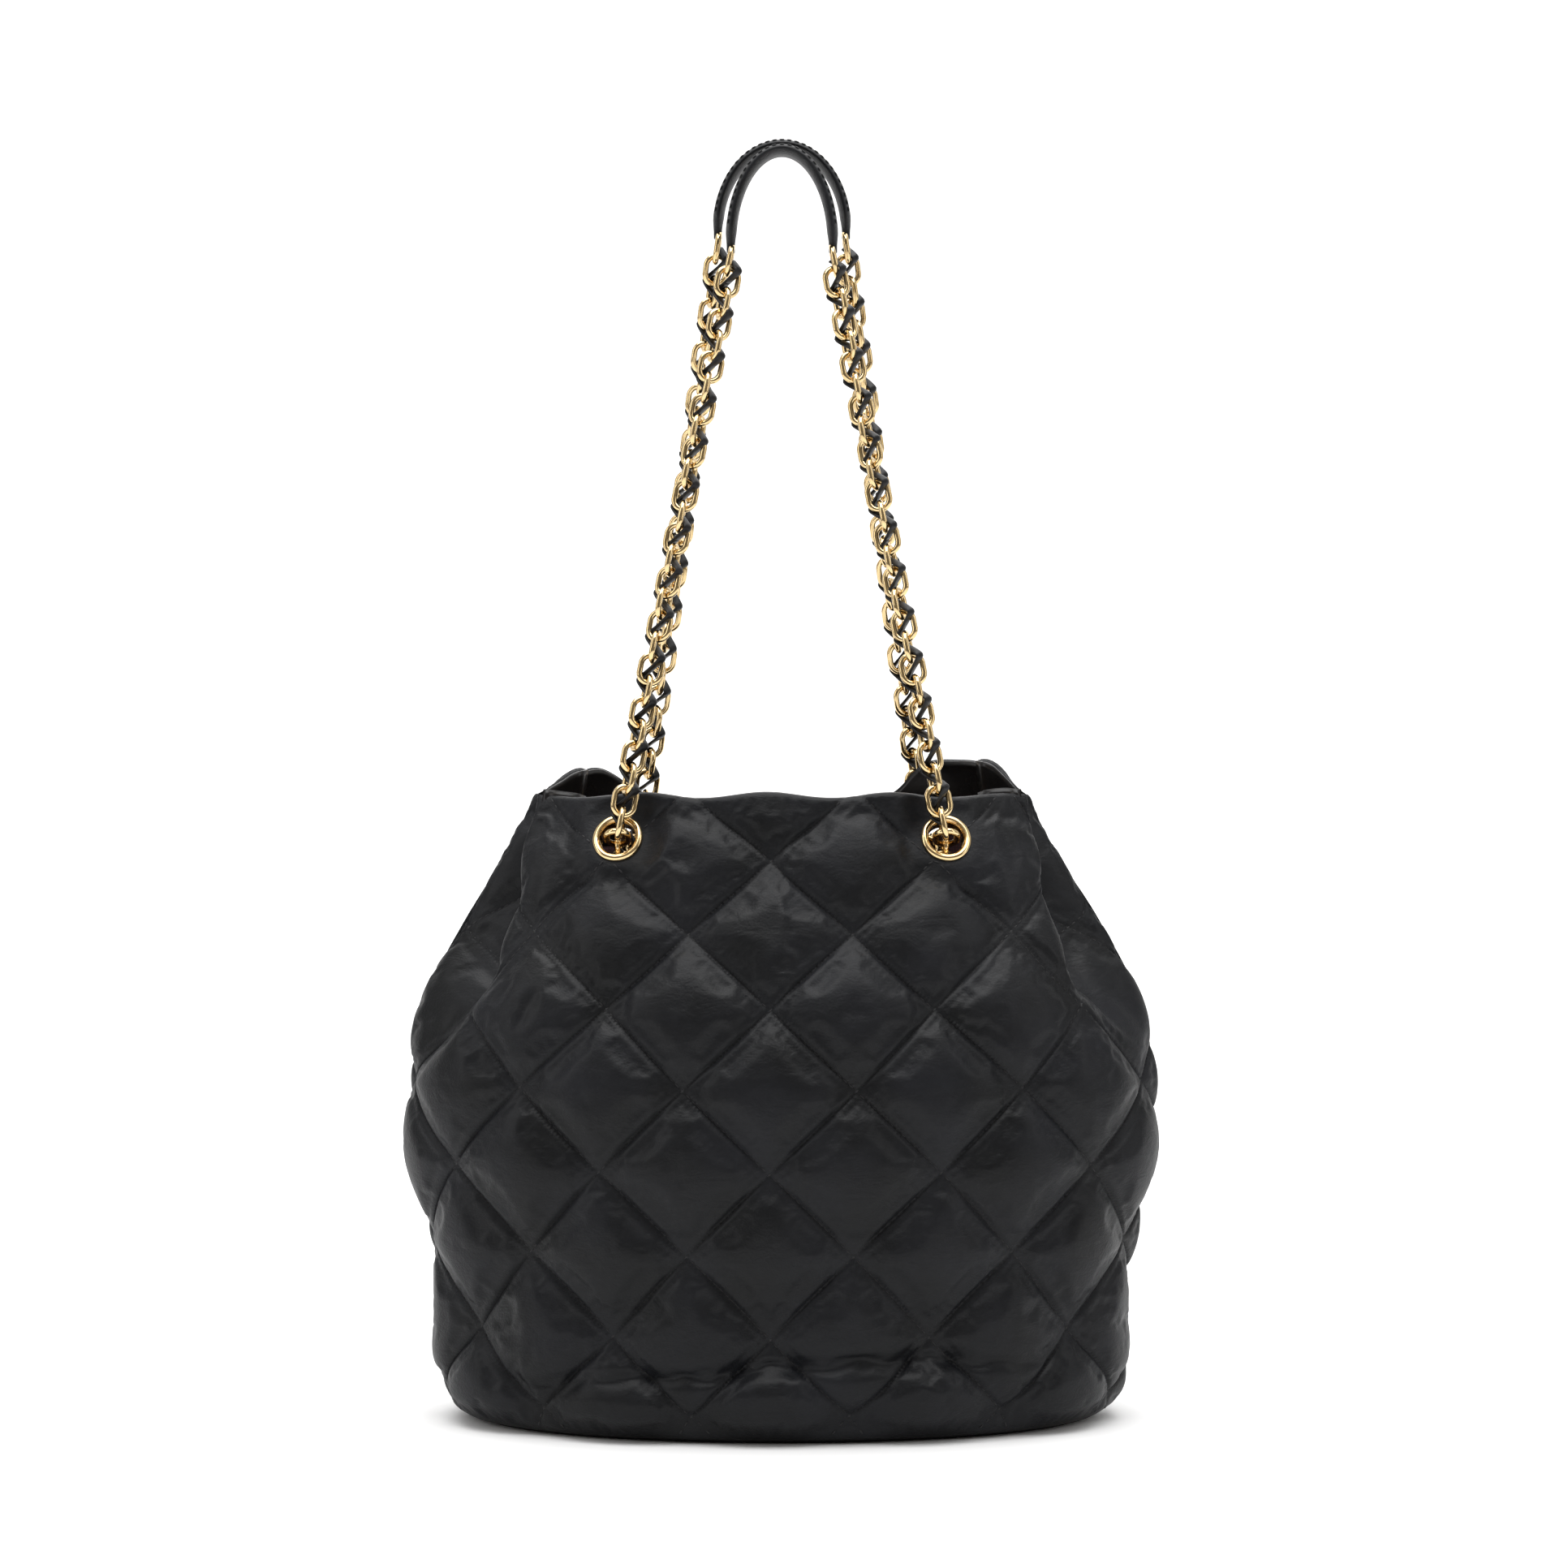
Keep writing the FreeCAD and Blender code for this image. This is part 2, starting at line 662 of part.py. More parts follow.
# ---------------------------------------------------------------- magnetic snap
for half, kind in (("front", "stud"), ("back", "socket")):
    height = size("body_height") - size("snap_drop")
    spot = wall_point(form_facing, 0.0, height, half)
    above = wall_point(form_facing, 0.0, height + 5, half)
    slope = (above - spot).normalize()
    inward = Vector(1, 0, 0).cross(slope) * HALF_SIGN[half]
    if inward.y * HALF_SIGN[half] > 0:
        inward = inward * -1
    place = frame_on(spot + inward * size("seat_clearance"), inward, Vector(1, 0, 0))
    disc = add(
        "Part::Cylinder",
        "snap_disc_" + kind,
        place,
        Radius="Sizes.snap_radius",
        Height="Sizes.snap_%s_height" % kind,
    )
    pin_radius = "Sizes.snap_pin_radius"
    pin_place = place.multiply(Placement(Vector(0, 0, size("snap_%s_height" % kind)), Rotation()))
    if kind == "socket":
        pin_radius = "Sizes.snap_pin_radius + Sizes.seat_clearance"
        deep = size("snap_pin_height") + size("seat_clearance")
        pin_place = pin_place.multiply(Placement(Vector(0, 0, -deep), Rotation()))
    pin = add(
        "Part::Cylinder",
        "snap_pin_" + kind,
        pin_place,
        Radius=pin_radius,
        Height="Sizes.snap_pin_height + Sizes.seat_clearance",
    )
    if kind == "socket":
        node("snap_socket", cut("snap_socket", disc, pin))
    else:
        node("snap_stud", fuse("snap_stud", [disc, pin]))

# ---------------------------------------------------------------- hanging zip pocket
pocket_top = rim_height(RIM_HALF_DEPTH) - facing_depth - 8
half_width = size("pocket_half_width")
touch = wall_point(form_lining, half_width, pocket_top, "back").y
pocket_back = touch - size("seat_clearance")
pocket_front = pocket_back - size("pocket_depth")
pocket_low = pocket_top - size("pocket_height")
pouch = add(
    "Part::Box",
    "pouch",
    Placement(Vector(-half_width, pocket_front, pocket_low), Rotation()),
    Length="2 * Sizes.pocket_half_width",
    Width="Sizes.pocket_depth",
    Height="Sizes.pocket_height",
)
wall = size("pocket_wall")
hollow = add(
    "Part::Box",
    "pouch_hollow",
    Placement(Vector(-half_width + wall, pocket_front + wall, pocket_low + wall), Rotation()),
    Length="2 * (Sizes.pocket_half_width - Sizes.pocket_wall)",
    Width="Sizes.pocket_depth - 2 * Sizes.pocket_wall",
    Height="Sizes.pocket_height - 2 * Sizes.pocket_wall",
)
zip_z = pocket_top - size("zip_drop")
zip_half = size("zip_half_length")
window_low = zip_z - size("zip_window") / 2
window = add(
    "Part::Box",
    "zip_window",
    Placement(Vector(-zip_half, pocket_front - wall, window_low), Rotation()),
    Length="2 * Sizes.zip_half_length",
    Width="3 * Sizes.pocket_wall",
    Height="Sizes.zip_window",
)
pouch_shell = cut("pouch_shell", pouch, hollow)
node("pocket_bag", cut("pocket_bag", pouch_shell, window))

tooth_height = 2.6
tooth_thick = 1.2
tape_thick = 0.6
tape_gap = 0.2
tape_height = (size("zip_window") - 2 * tape_gap - tooth_height) / 2 - tape_gap
zip_y = pocket_front + wall / 2
tape_y = zip_y - tape_thick / 2
tapes = []
for low in (window_low + tape_gap, window_low + size("zip_window") - tape_gap - tape_height):
    tapes.append(
        Part.makeBox(2 * (zip_half - tape_gap), tape_thick, tape_height, Vector(-zip_half + tape_gap, tape_y, low))
    )
node("zip_tapes", feature("zip_tapes", Part.makeCompound(tapes)))

teeth = []
tooth = size("tooth_length")
end_room = 2.0
tooth_count = int(2 * (zip_half - end_room) / size("tooth_pitch"))
for number in range(tooth_count):
    x = -zip_half + end_room + number * size("tooth_pitch")
    corner = Vector(x, zip_y - tooth_thick / 2, zip_z - tooth_height / 2)
    teeth.append(Part.makeBox(tooth, tooth_thick, tooth_height, corner))
node("zip_teeth", feature("zip_teeth", Part.makeCompound(teeth)))

slide_gap = 0.4
slider_thick = 1.6
slider_end = 3.0
slider_y = zip_y - tooth_thick / 2 - slide_gap - slider_thick
slider_x = -zip_half + slider_end
slider_long = size("slider_length")
plate = add(
    "Part::Box",
    "slider_plate",
    Placement(Vector(slider_x, slider_y, zip_z - size("slider_height") / 2), Rotation()),
    Length="Sizes.slider_length",
    Width=str(slider_thick),
    Height="Sizes.slider_height",
)
slider_middle = slider_x + slider_long / 2
bar_radius = 0.8
bar_half = 2.8
bar_y = slider_y - 2.6
post_wide = 1.2
post_tall = 1.8
posts = []
for sign in (-1, 1):
    post = add(
        "Part::Box",
        "slider_post_%s" % ("left" if sign < 0 else "right"),
        Placement(
            Vector(slider_middle + sign * bar_half - post_wide / 2, bar_y - post_tall / 2, zip_z - post_tall / 2),
            Rotation(),
        ),
        Length=str(post_wide),
        Width=str(slider_y - bar_y + post_tall / 2),
        Height=str(post_tall),
    )
    posts.append(post)
bar = add(
    "Part::Cylinder",
    "slider_bar",
    Placement(Vector(slider_middle - bar_half, bar_y, zip_z), Rotation(Vector(0, 1, 0), 90)),
    Radius=str(bar_radius),
    Height=str(2 * bar_half),
)
node("zip_slider", fuse("zip_slider", [plate, bar] + posts))

puller_half = 1.9
puller_thick = 1.2
ear_wall = 1.1
ear_gap = 0.25
puller = Part.makeBox(
    2 * puller_half,
    puller_thick,
    size("puller_length"),
    Vector(slider_middle - puller_half, bar_y - puller_thick / 2, zip_z - size("puller_length")),
)
ear = Part.makeCylinder(
    bar_radius + ear_wall, 2 * puller_half, Vector(slider_middle - puller_half, bar_y, zip_z), Vector(1, 0, 0)
)
bar_room = Part.makeCylinder(
    bar_radius + ear_gap, 2 * puller_half, Vector(slider_middle - puller_half, bar_y, zip_z), Vector(1, 0, 0)
)
node("zip_puller", feature("zip_puller", puller.fuse(ear).cut(bar_room)))
zip_travel = 2 * (zip_half - slider_end) - slider_long
puller_hinge = Vector(slider_middle, bar_y, zip_z)

# ---------------------------------------------------------------- check and write
doc.recompute()
for thing in doc.Objects:
    if "Invalid" in thing.State or "Error" in thing.State:
        raise RuntimeError("%s did not build: %s" % (thing.Name, thing.State))
for name, thing in NODES.items():
    shape = thing.Shape
    if shape.isNull() or not shape.isValid() or not shape.Solids:
        raise RuntimeError("%s has no valid solid" % name)

os.makedirs("parts", exist_ok=True)
for name, thing in NODES.items():
    thing.Shape.exportStep("parts/%s.step" % name)
    box = thing.Shape.BoundBox
    print("%-28s solids %2d  volume %9.1f  z %.1f..%.1f" % (
        name, len(thing.Shape.Solids), thing.Shape.Volume, box.ZMin, box.ZMax))
print("nodes", len(NODES))
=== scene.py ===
"""Looks of a quilted leather bucket bag with two laced chain handles.

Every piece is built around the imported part, in metres, +Z up, the bag's front towards -Y.
"""

import logging
import math
from dataclasses import dataclass, field
from enum import Enum

import bmesh
import bpy
import numpy as np
from mathutils import Matrix, Vector


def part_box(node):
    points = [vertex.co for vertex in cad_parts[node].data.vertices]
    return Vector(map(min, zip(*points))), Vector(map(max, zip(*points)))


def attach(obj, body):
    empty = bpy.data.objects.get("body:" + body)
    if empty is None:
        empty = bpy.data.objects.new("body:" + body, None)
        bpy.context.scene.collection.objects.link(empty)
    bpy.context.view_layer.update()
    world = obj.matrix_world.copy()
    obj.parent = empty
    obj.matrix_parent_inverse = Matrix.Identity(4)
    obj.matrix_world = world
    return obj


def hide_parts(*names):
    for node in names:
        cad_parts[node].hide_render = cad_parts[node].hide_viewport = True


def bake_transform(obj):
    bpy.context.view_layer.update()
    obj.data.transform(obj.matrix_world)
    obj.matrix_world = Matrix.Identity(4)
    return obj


Thing, Material = bpy.types.Object, bpy.types.Material
Tree, Node, Socket = bpy.types.NodeTree, bpy.types.Node, bpy.types.NodeSocket

log = logging.getLogger("bucket_bag")
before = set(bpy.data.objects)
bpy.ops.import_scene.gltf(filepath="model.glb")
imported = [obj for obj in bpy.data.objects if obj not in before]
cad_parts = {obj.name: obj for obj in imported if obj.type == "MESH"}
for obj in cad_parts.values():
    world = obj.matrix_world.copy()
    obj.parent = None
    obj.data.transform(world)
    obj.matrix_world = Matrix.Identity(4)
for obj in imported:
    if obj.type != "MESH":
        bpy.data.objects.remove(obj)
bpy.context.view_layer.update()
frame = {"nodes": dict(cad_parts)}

MM = 0.001
HALVES = ("front", "back")
SIDES = ("left", "right")
FACING_SIGN = {"front": -1.0, "back": 1.0}
SIDE_SIGN = {"left": -1.0, "right": 1.0}
PLACES = [(half, side) for half in HALVES for side in SIDES]


# ---- small tools
def linear(code: str) -> tuple[float, float, float, float]:
    """Turns an sRGB hex colour into linear RGBA.

    Args:
        code: Six hex digits after a hash.

    Returns:
        Linear red, green and blue, and an alpha of one.
    """
    parts = [int(code[i:i + 2], 16) / 255 for i in (1, 3, 5)]
    flat = [p / 12.92 if p <= 0.04045 else ((p + 0.055) / 1.055) ** 2.4 for p in parts]
    return (*flat, 1.0)


def smooth_step(low: float, high: float, value: np.ndarray) -> np.ndarray:
    """Eases from nought to one as value goes from low to high."""
    share = np.clip((value - low) / (high - low), 0.0, 1.0)
    return share * share * (3 - 2 * share)


def smooth_curve(knots: np.ndarray, values: np.ndarray, at: np.ndarray) -> np.ndarray:
    """Cubic curve through knots, with slopes taken from its neighbours.

    Args:
        knots: Rising positions of the knots.
        values: One value, or one row of values, for each knot.
        at: Positions at which to read the curve.

    Returns:
        The curve's values at those positions.
    """
    knots = np.asarray(knots, float)
    values = np.asarray(values, float)
    slopes = np.gradient(values, knots, axis=0)
    place = np.clip(np.searchsorted(knots, at) - 1, 0, len(knots) - 2)
    span = knots[place + 1] - knots[place]
    share = np.clip((at - knots[place]) / span, 0.0, 1.0)
    if values.ndim > 1:
        share = share[..., None]
        span = span[..., None]
    square = share * share
    cube = square * share
    start = (2 * cube - 3 * square + 1) * values[place]
    end = (3 * square - 2 * cube) * values[place + 1]
    rise = (cube - 2 * square + share) * span * slopes[place]
    fall = (cube - square) * span * slopes[place + 1]
    return start + end + rise + fall


def squared(values: np.ndarray, power: float) -> np.ndarray:
    """Powers of values that keep their signs, which square off a circle's sine and cosine."""
    return np.sign(values) * np.abs(values) ** power


def unit(vectors: np.ndarray) -> np.ndarray:
    """Scales vectors to unit length along their last axis."""
    length = np.linalg.norm(vectors, axis=-1, keepdims=True)
    return vectors / np.maximum(length, 1e-12)


def new_object(name: str, points: np.ndarray, faces: list,
               material: Material | None = None) -> Thing:
    """Makes a mesh object at the origin from points and faces.

    Args:
        name: Name of the object.
        points: Positions in metres, one row each.
        faces: Vertex numbers of each face.
        material: Finish of the whole piece, if it has one already.

    Returns:
        The new object, linked to the scene.
    """
    mesh = bpy.data.meshes.new(name)
    mesh.from_pydata([tuple(p) for p in points], [], faces)
    mesh.validate()
    mesh.polygons.foreach_set("use_smooth", [True] * len(mesh.polygons))
    if material is not None:
        mesh.materials.append(material)
    thing = bpy.data.objects.new(name, mesh)
    bpy.context.scene.collection.objects.link(thing)
    return thing


def frozen(thing: Thing) -> Thing:
    """Turns what an object's modifiers make into its own plain mesh."""
    graph = bpy.context.evaluated_depsgraph_get()
    made = bpy.data.meshes.new_from_object(thing.evaluated_get(graph), depsgraph=graph)
    thing.modifiers.clear()
    thing.data = made
    return thing


def outward_faces(thing: Thing) -> None:
    """Merges doubled points of a closed mesh and points its faces outwards."""
    mesh = bmesh.new()
    mesh.from_mesh(thing.data)
    bmesh.ops.remove_doubles(mesh, verts=mesh.verts, dist=1e-6)
    bmesh.ops.recalc_face_normals(mesh, faces=mesh.faces)
    mesh.to_mesh(thing.data)
    mesh.free()


def grid_faces(rows: int, columns: int, closed: bool = False) -> list[tuple[int, int, int, int]]:
    """Quads of a grid of points numbered row by row, its columns joined up if closed."""
    across = columns if closed else columns - 1
    faces = []
    for row in range(rows - 1):
        for column in range(across):
            beside = (column + 1) % columns
            here = row * columns
            faces.append((here + column, here + beside,
                          here + columns + beside, here + columns + column))
    return faces


def swept(path: np.ndarray, wide: np.ndarray, section: np.ndarray, name: str,
          material: Material) -> Thing:
    """Sweeps a section along a path and closes its ends.

    Args:
        path: Points of the middle line.
        wide: Direction of the section's first axis at each point.
        section: For each path point, the section's points as (along wide, along normal).
        name: Name of the piece.
        material: Its finish.

    Returns:
        The closed piece.
    """
    tangent = unit(np.gradient(path, axis=0))
    wide = unit(wide - tangent * np.sum(wide * tangent, axis=1, keepdims=True))
    normal = np.cross(tangent, wide)
    points = path[:, None] + section[..., :1] * wide[:, None] + section[..., 1:] * normal[:, None]
    rows, columns = section.shape[:2]
    faces = grid_faces(rows, columns, closed=True)
    faces.append(tuple(range(columns)))
    faces.append(tuple(reversed(range((rows - 1) * columns, rows * columns))))
    piece = new_object(name, points.reshape(-1, 3), faces, material)
    outward_faces(piece)
    return piece


# ---- finishes
def add_node(tree: Tree, kind: str, inputs: dict | None = None, **settings) -> Node:
    """Adds a node with its settings, values and links.

    Args:
        tree: Tree that gets the node.
        kind: Blender's name of the node's type.
        inputs: For each input, by name or number, a value or an output socket to link.
        settings: Properties of the node.

    Returns:
        The new node.
    """
    node = tree.nodes.new(kind)
    for name, value in settings.items():
        setattr(node, name, value)
    for key, value in (inputs or {}).items():
        if isinstance(value, Socket):
            tree.links.new(value, node.inputs[key])
        else:
            node.inputs[key].default_value = value
    return node


def maths(tree: Tree, operation: str, *values) -> Socket:
    """Result of a maths node on numbers or output sockets."""
    return add_node(tree, "ShaderNodeMath", dict(enumerate(values)), operation=operation).outputs[0]


def bumped(tree: Tree, height: Socket, strength: float,
           rise_mm: float) -> Socket:
    """Directions of a surface raised by a height between nought and one."""
    return add_node(tree, "ShaderNodeBump", {
        "Strength": strength, "Distance": rise_mm * MM, "Height": height}).outputs["Normal"]


def start_finish(name: str) -> tuple[Material, Tree, Socket]:
    """Makes a material, its empty node tree and a socket with the place on the object."""
    material = bpy.data.materials.new(name)
    material.use_nodes = True
    tree = material.node_tree
    tree.nodes.clear()
    return material, tree, add_node(tree, "ShaderNodeTexCoord").outputs["Object"]


def end_finish(material: Material, inputs: dict) -> Material:
    """Ends a material's tree with a surface of the given inputs."""
    tree = material.node_tree
    shader = add_node(tree, "ShaderNodeBsdfPrincipled", inputs)
    add_node(tree, "ShaderNodeOutputMaterial", {"Surface": shader.outputs[0]})
    return material


class Grain(Enum):
    """How fine a leather's surface is."""

    LAMBSKIN = 1.0
    GLOSSY = 0.35


@dataclass(frozen=True)
class Leather:
    """Drum-dyed lambskin: near-black, soft low sheen, fine pores and a net of small creases."""

    name: str = "lambskin_leather"
    deep: str = "#08090b"
    worn: str = "#131418"
    roughness: float = 0.47
    shine: float = 0.16
    coat: float = 0.10
    grain: Grain = Grain.LAMBSKIN
    pore_mm: float = 1.1  # real pores are about 0.3 mm, drawn coarser so that they show
    crease_mm: float = 16.0
    crease_squeeze: float = 2.2  # creases run across the bag more than up it
    pore_share: float = 0.16
    cloud_mm: float = 34.0

    def build(self) -> Material:
        """Builds the material."""
        material, tree, place = start_finish(self.name)
        cloud = add_node(tree, "ShaderNodeTexNoise", {
            "Vector": place, "Scale": 1 / (self.cloud_mm * MM), "Detail": 5.0}).outputs["Fac"]
        pores = add_node(tree, "ShaderNodeTexVoronoi", {
            "Vector": place, "Scale": 1 / (self.pore_mm * MM)}, feature="SMOOTH_F1").outputs["Distance"]
        squeezed = add_node(tree, "ShaderNodeMapping", {
            "Vector": place, "Scale": (1.0, 1.0, self.crease_squeeze)}).outputs[0]
        creases = add_node(tree, "ShaderNodeTexNoise", {
            "Vector": squeezed, "Scale": 1 / (self.crease_mm * MM), "Detail": 10.0,
            "Roughness": 0.66, "Distortion": 0.8}, normalize=True).outputs["Fac"]
        tint = add_node(tree, "ShaderNodeValToRGB", {"Fac": cloud})
        for stop, place_on, colour in zip(tint.color_ramp.elements, (0.35, 0.72), (self.deep, self.worn)):
            stop.position = place_on
            stop.color = linear(colour)
        gloss = add_node(tree, "ShaderNodeMapRange", {
            "Value": cloud, "From Min": 0.3, "From Max": 0.7,
            "To Min": self.roughness - 0.05, "To Max": self.roughness + 0.06})
        height = maths(tree, "MULTIPLY_ADD", pores, self.pore_share, creases)
        return end_finish(material, {
            "Base Color": tint.outputs["Color"], "Roughness": gloss.outputs["Result"], "IOR": 1.48,
            "Specular IOR Level": self.shine, "Coat Weight": self.coat, "Coat Roughness": 0.3,
            "Normal": bumped(tree, height, 0.8 * self.grain.value, 0.9)})


@dataclass(frozen=True)
class PlatedMetal:
    """Pale gold plate on polished brass: mirror-like, with faint handling marks."""

    name: str = "pale_gold_plate"
    colour: str = "#dfc493"
    roughness: float = 0.13

    def build(self) -> Material:
        """Builds the material."""
        material, tree, place = start_finish(self.name)
        marks = add_node(tree, "ShaderNodeTexNoise", {
            "Vector": place, "Scale": 1 / (2.5 * MM), "Detail": 4.0}).outputs["Fac"]
        rough = add_node(tree, "ShaderNodeMapRange", {
            "Value": marks, "From Min": 0.3, "From Max": 0.75,
            "To Min": self.roughness - 0.05, "To Max": self.roughness + 0.09})
        return end_finish(material, {
            "Base Color": linear(self.colour), "Metallic": 1.0, "Roughness": rough.outputs["Result"],
            "Normal": bumped(tree, marks, 0.08, 0.1)})


@dataclass(frozen=True)
class Woven:
    """Plain-woven cloth: matt, with threads crossing over and under."""

    name: str
    warp: str
    weft: str
    thread_mm: float = 0.7

    def build(self) -> Material:
        """Builds the material."""
        material, tree, place = start_finish(self.name)
        bands = 2 * math.pi / (2 * self.thread_mm * MM) / 20
        upright, level = (add_node(tree, "ShaderNodeTexWave", {
            "Vector": place, "Scale": bands}, bands_direction=way).outputs["Fac"] for way in "ZX")
        weave = maths(tree, "MULTIPLY", upright, level)
        tint = add_node(tree, "ShaderNodeMix", {
            0: weave, 6: linear(self.weft), 7: linear(self.warp)}, data_type="RGBA")
        return end_finish(material, {
            "Base Color": tint.outputs[2], "Roughness": 0.75, "Sheen Weight": 0.25,
            "Normal": bumped(tree, weave, 0.4, 0.2)})


@dataclass(frozen=True)
class Thread:
    """Waxed sewing thread: two plies twisted, dull black."""

    name: str = "waxed_thread"
    colour: str = "#0b0b0d"

    def build(self) -> Material:
        """Builds the material."""
        material, tree, place = start_finish(self.name)
        ply = add_node(tree, "ShaderNodeTexWave", {
            "Vector": place, "Scale": 1 / (8 * MM), "Distortion": 1.5}, bands_direction="DIAGONAL")
        return end_finish(material, {
            "Base Color": linear(self.colour), "Roughness": 0.6,
            "Normal": bumped(tree, ply.outputs["Fac"], 0.5, 0.1)})


@dataclass(frozen=True)
class Fibre:
    """Pressed board or wadding: matt and fibrous."""

    name: str
    colour: str
    fibre_mm: float = 2.0

    def build(self) -> Material:
        """Builds the material."""
        material, tree, place = start_finish(self.name)
        fibres = add_node(tree, "ShaderNodeTexNoise", {
            "Vector": place, "Scale": 1 / (self.fibre_mm * MM), "Detail": 8.0})
        return end_finish(material, {
            "Base Color": linear(self.colour), "Roughness": 0.85,
            "Normal": bumped(tree, fibres.outputs["Fac"], 0.6, 0.4)})


# ---- shape of the bag
@dataclass
class BagForm:
    """Outer shape of the bag: an oval body whose sides fold into pleats towards the mouth.

    A point of a panel has a place round the bag, counted from the panel's middle, and a level,
    counted up the leather from the lowest crossing of the quilting.
    """

    half_width: float
    half_depth: float
    height: float
    cell_wide: float = 81.0 * MM
    cell_tall: float = 76.0 * MM
    cells_round: float = 5.5
    steps: int = 28
    lattice_shift: int = -2
    pillow: float = 7.0 * MM
    pleat: float = 17.0 * MM

    # Share of the height, and shares of the greatest half-width and half-depth there.
    PROFILE = ((0.0, 0.801, 0.792), (0.012, 0.850, 0.840), (0.035, 0.893, 0.890), (0.083, 0.923, 0.938),
               (0.167, 0.912, 0.938), (0.3, 0.95, 0.979), (0.5, 1.0, 1.0), (0.667, 0.961, 0.917),
               (0.8, 0.845, 0.76), (0.9, 0.746, 0.646), (1.0, 0.657, 0.542), (1.08, 0.608, 0.479))
    # Height in metres of the quilting's crossings on a panel's middle, one for each cell.
    CROSSINGS = (-0.024, 0.049, 0.125, 0.2007, 0.2684, 0.3364)
    # Height, and how far the fold beside the flat of a panel stands from the middle.
    RIDGE = ((0.15, 0.158), (0.188, 0.148), (0.197, 0.144), (0.212, 0.1355), (0.229, 0.131),
             (0.243, 0.1255), (0.27, 0.122), (0.295, 0.117), (0.33, 0.114))
    # Heights at which the pleats begin and at which they are full.
    PLEATS_OPEN = (0.158, 0.245)

    @property
    def seam(self) -> float:
        """Distance round the bag from a panel's middle to its side seam."""
        return self.cells_round * self.cell_wide / 2

    @property
    def columns(self) -> int:
        """Number of points in a row of a panel."""
        return int(self.cells_round * self.steps) + 1

    def levels(self) -> np.ndarray:
        """Levels of a panel's rows, from the base seam up to the rim."""
        step = self.cell_tall / self.steps
        low = self.level_of(np.array([1.0 * MM]))[0]
        high = self.level_of(np.array([self.height]))[0]
        first = math.ceil(low / step)
        last = math.floor(high / step)
        return np.arange(first, last + 1) * step

    def height_of(self, level: np.ndarray) -> np.ndarray:
        """Height above the floor at a level."""
        knots = (np.arange(len(self.CROSSINGS)) - 1) * self.cell_tall
        return smooth_curve(knots, np.array(self.CROSSINGS), level)

    def level_of(self, height: np.ndarray) -> np.ndarray:
        """Level at a height above the floor."""
        levels = np.linspace(-self.cell_tall, 4 * self.cell_tall, 800)
        return np.interp(height, self.height_of(levels), levels)

    def half_sizes(self, height: float) -> tuple[float, float]:
        """Half-width and half-depth of the oval at a height."""
        table = np.array(self.PROFILE)
        wide, deep = smooth_curve(table[:, 0], table[:, 1:], np.array([height / self.height]))[0]
        return wide * self.half_width, deep * self.half_depth

    def section(self, height: float, round_bag: np.ndarray) -> np.ndarray:
        """Points of the front half's outline at a height.

        Args:
            height: Height above the floor.
            round_bag: Places round the bag from the panel's middle.

        Returns:
            One (x, y) row for each place.
        """
        wide, deep = self.half_sizes(height)
        turn = np.linspace(0, math.pi / 2, 240)
        walk = np.stack([wide * np.sin(turn), -deep * np.cos(turn)], axis=1)
        run = np.concatenate([[0], np.cumsum(np.linalg.norm(np.diff(walk, axis=0), axis=1))])
        share = np.abs(round_bag) / self.seam
        angle = np.interp(share * run[-1], run, turn)
        oval = np.stack([wide * np.sin(angle), -deep * np.cos(angle)], axis=1)
        ridge_table = np.array(self.RIDGE)
        ridge = smooth_curve(ridge_table[:, 0], ridge_table[:, 1], np.array([height]))[0]
        valley = min(ridge, wide) - self.pleat
        at_ridge = ridge / 0.93 + 10 * MM
        left = self.seam - at_ridge
        knots = np.array([0, 0.453 * ridge, 0.83 * ridge, 1.02 * ridge, at_ridge, at_ridge + 0.14 * left,
                          at_ridge + 0.36 * left, at_ridge + 0.56 * left, at_ridge + 0.78 * left, self.seam])
        out = wide - valley
        face = [(share * ridge, -deep * math.sqrt(1 - min(share * ridge / wide, 0.97) ** 2))
                for share in (0, 0.43, 0.78, 0.93)]
        fold = face[-1][1]
        table = np.array(face + [
            (ridge, 0.8 * fold), (ridge - 5 * MM, 0.6 * fold), (valley, 0.45 * fold),
            (valley + 0.35 * out, 0.32 * fold), (valley + 0.86 * out, 0.14 * fold), (wide, 0)])
        pleated = smooth_curve(knots, table, np.abs(round_bag))
        weight = smooth_step(*self.PLEATS_OPEN, np.array([height]))[0]
        plan = oval * (1 - weight) + pleated * weight
        plan[:, 0] *= np.sign(round_bag)
        return plan

    def rim_shift(self, half: str, x: np.ndarray) -> np.ndarray:
        """How far the rim stands above or below its level, across the bag."""
        if half == "front":
            return 1.2 * MM * np.cos(2 * math.pi * (x / (58 * MM)) + 0.8) - 1.0 * MM
        left = 15.0 * MM * np.exp(-((x + 93 * MM) / (20 * MM)) ** 2)
        right = 19.0 * MM * np.exp(-((x - 86 * MM) / (27 * MM)) ** 4)
        return left + right - 3.0 * MM

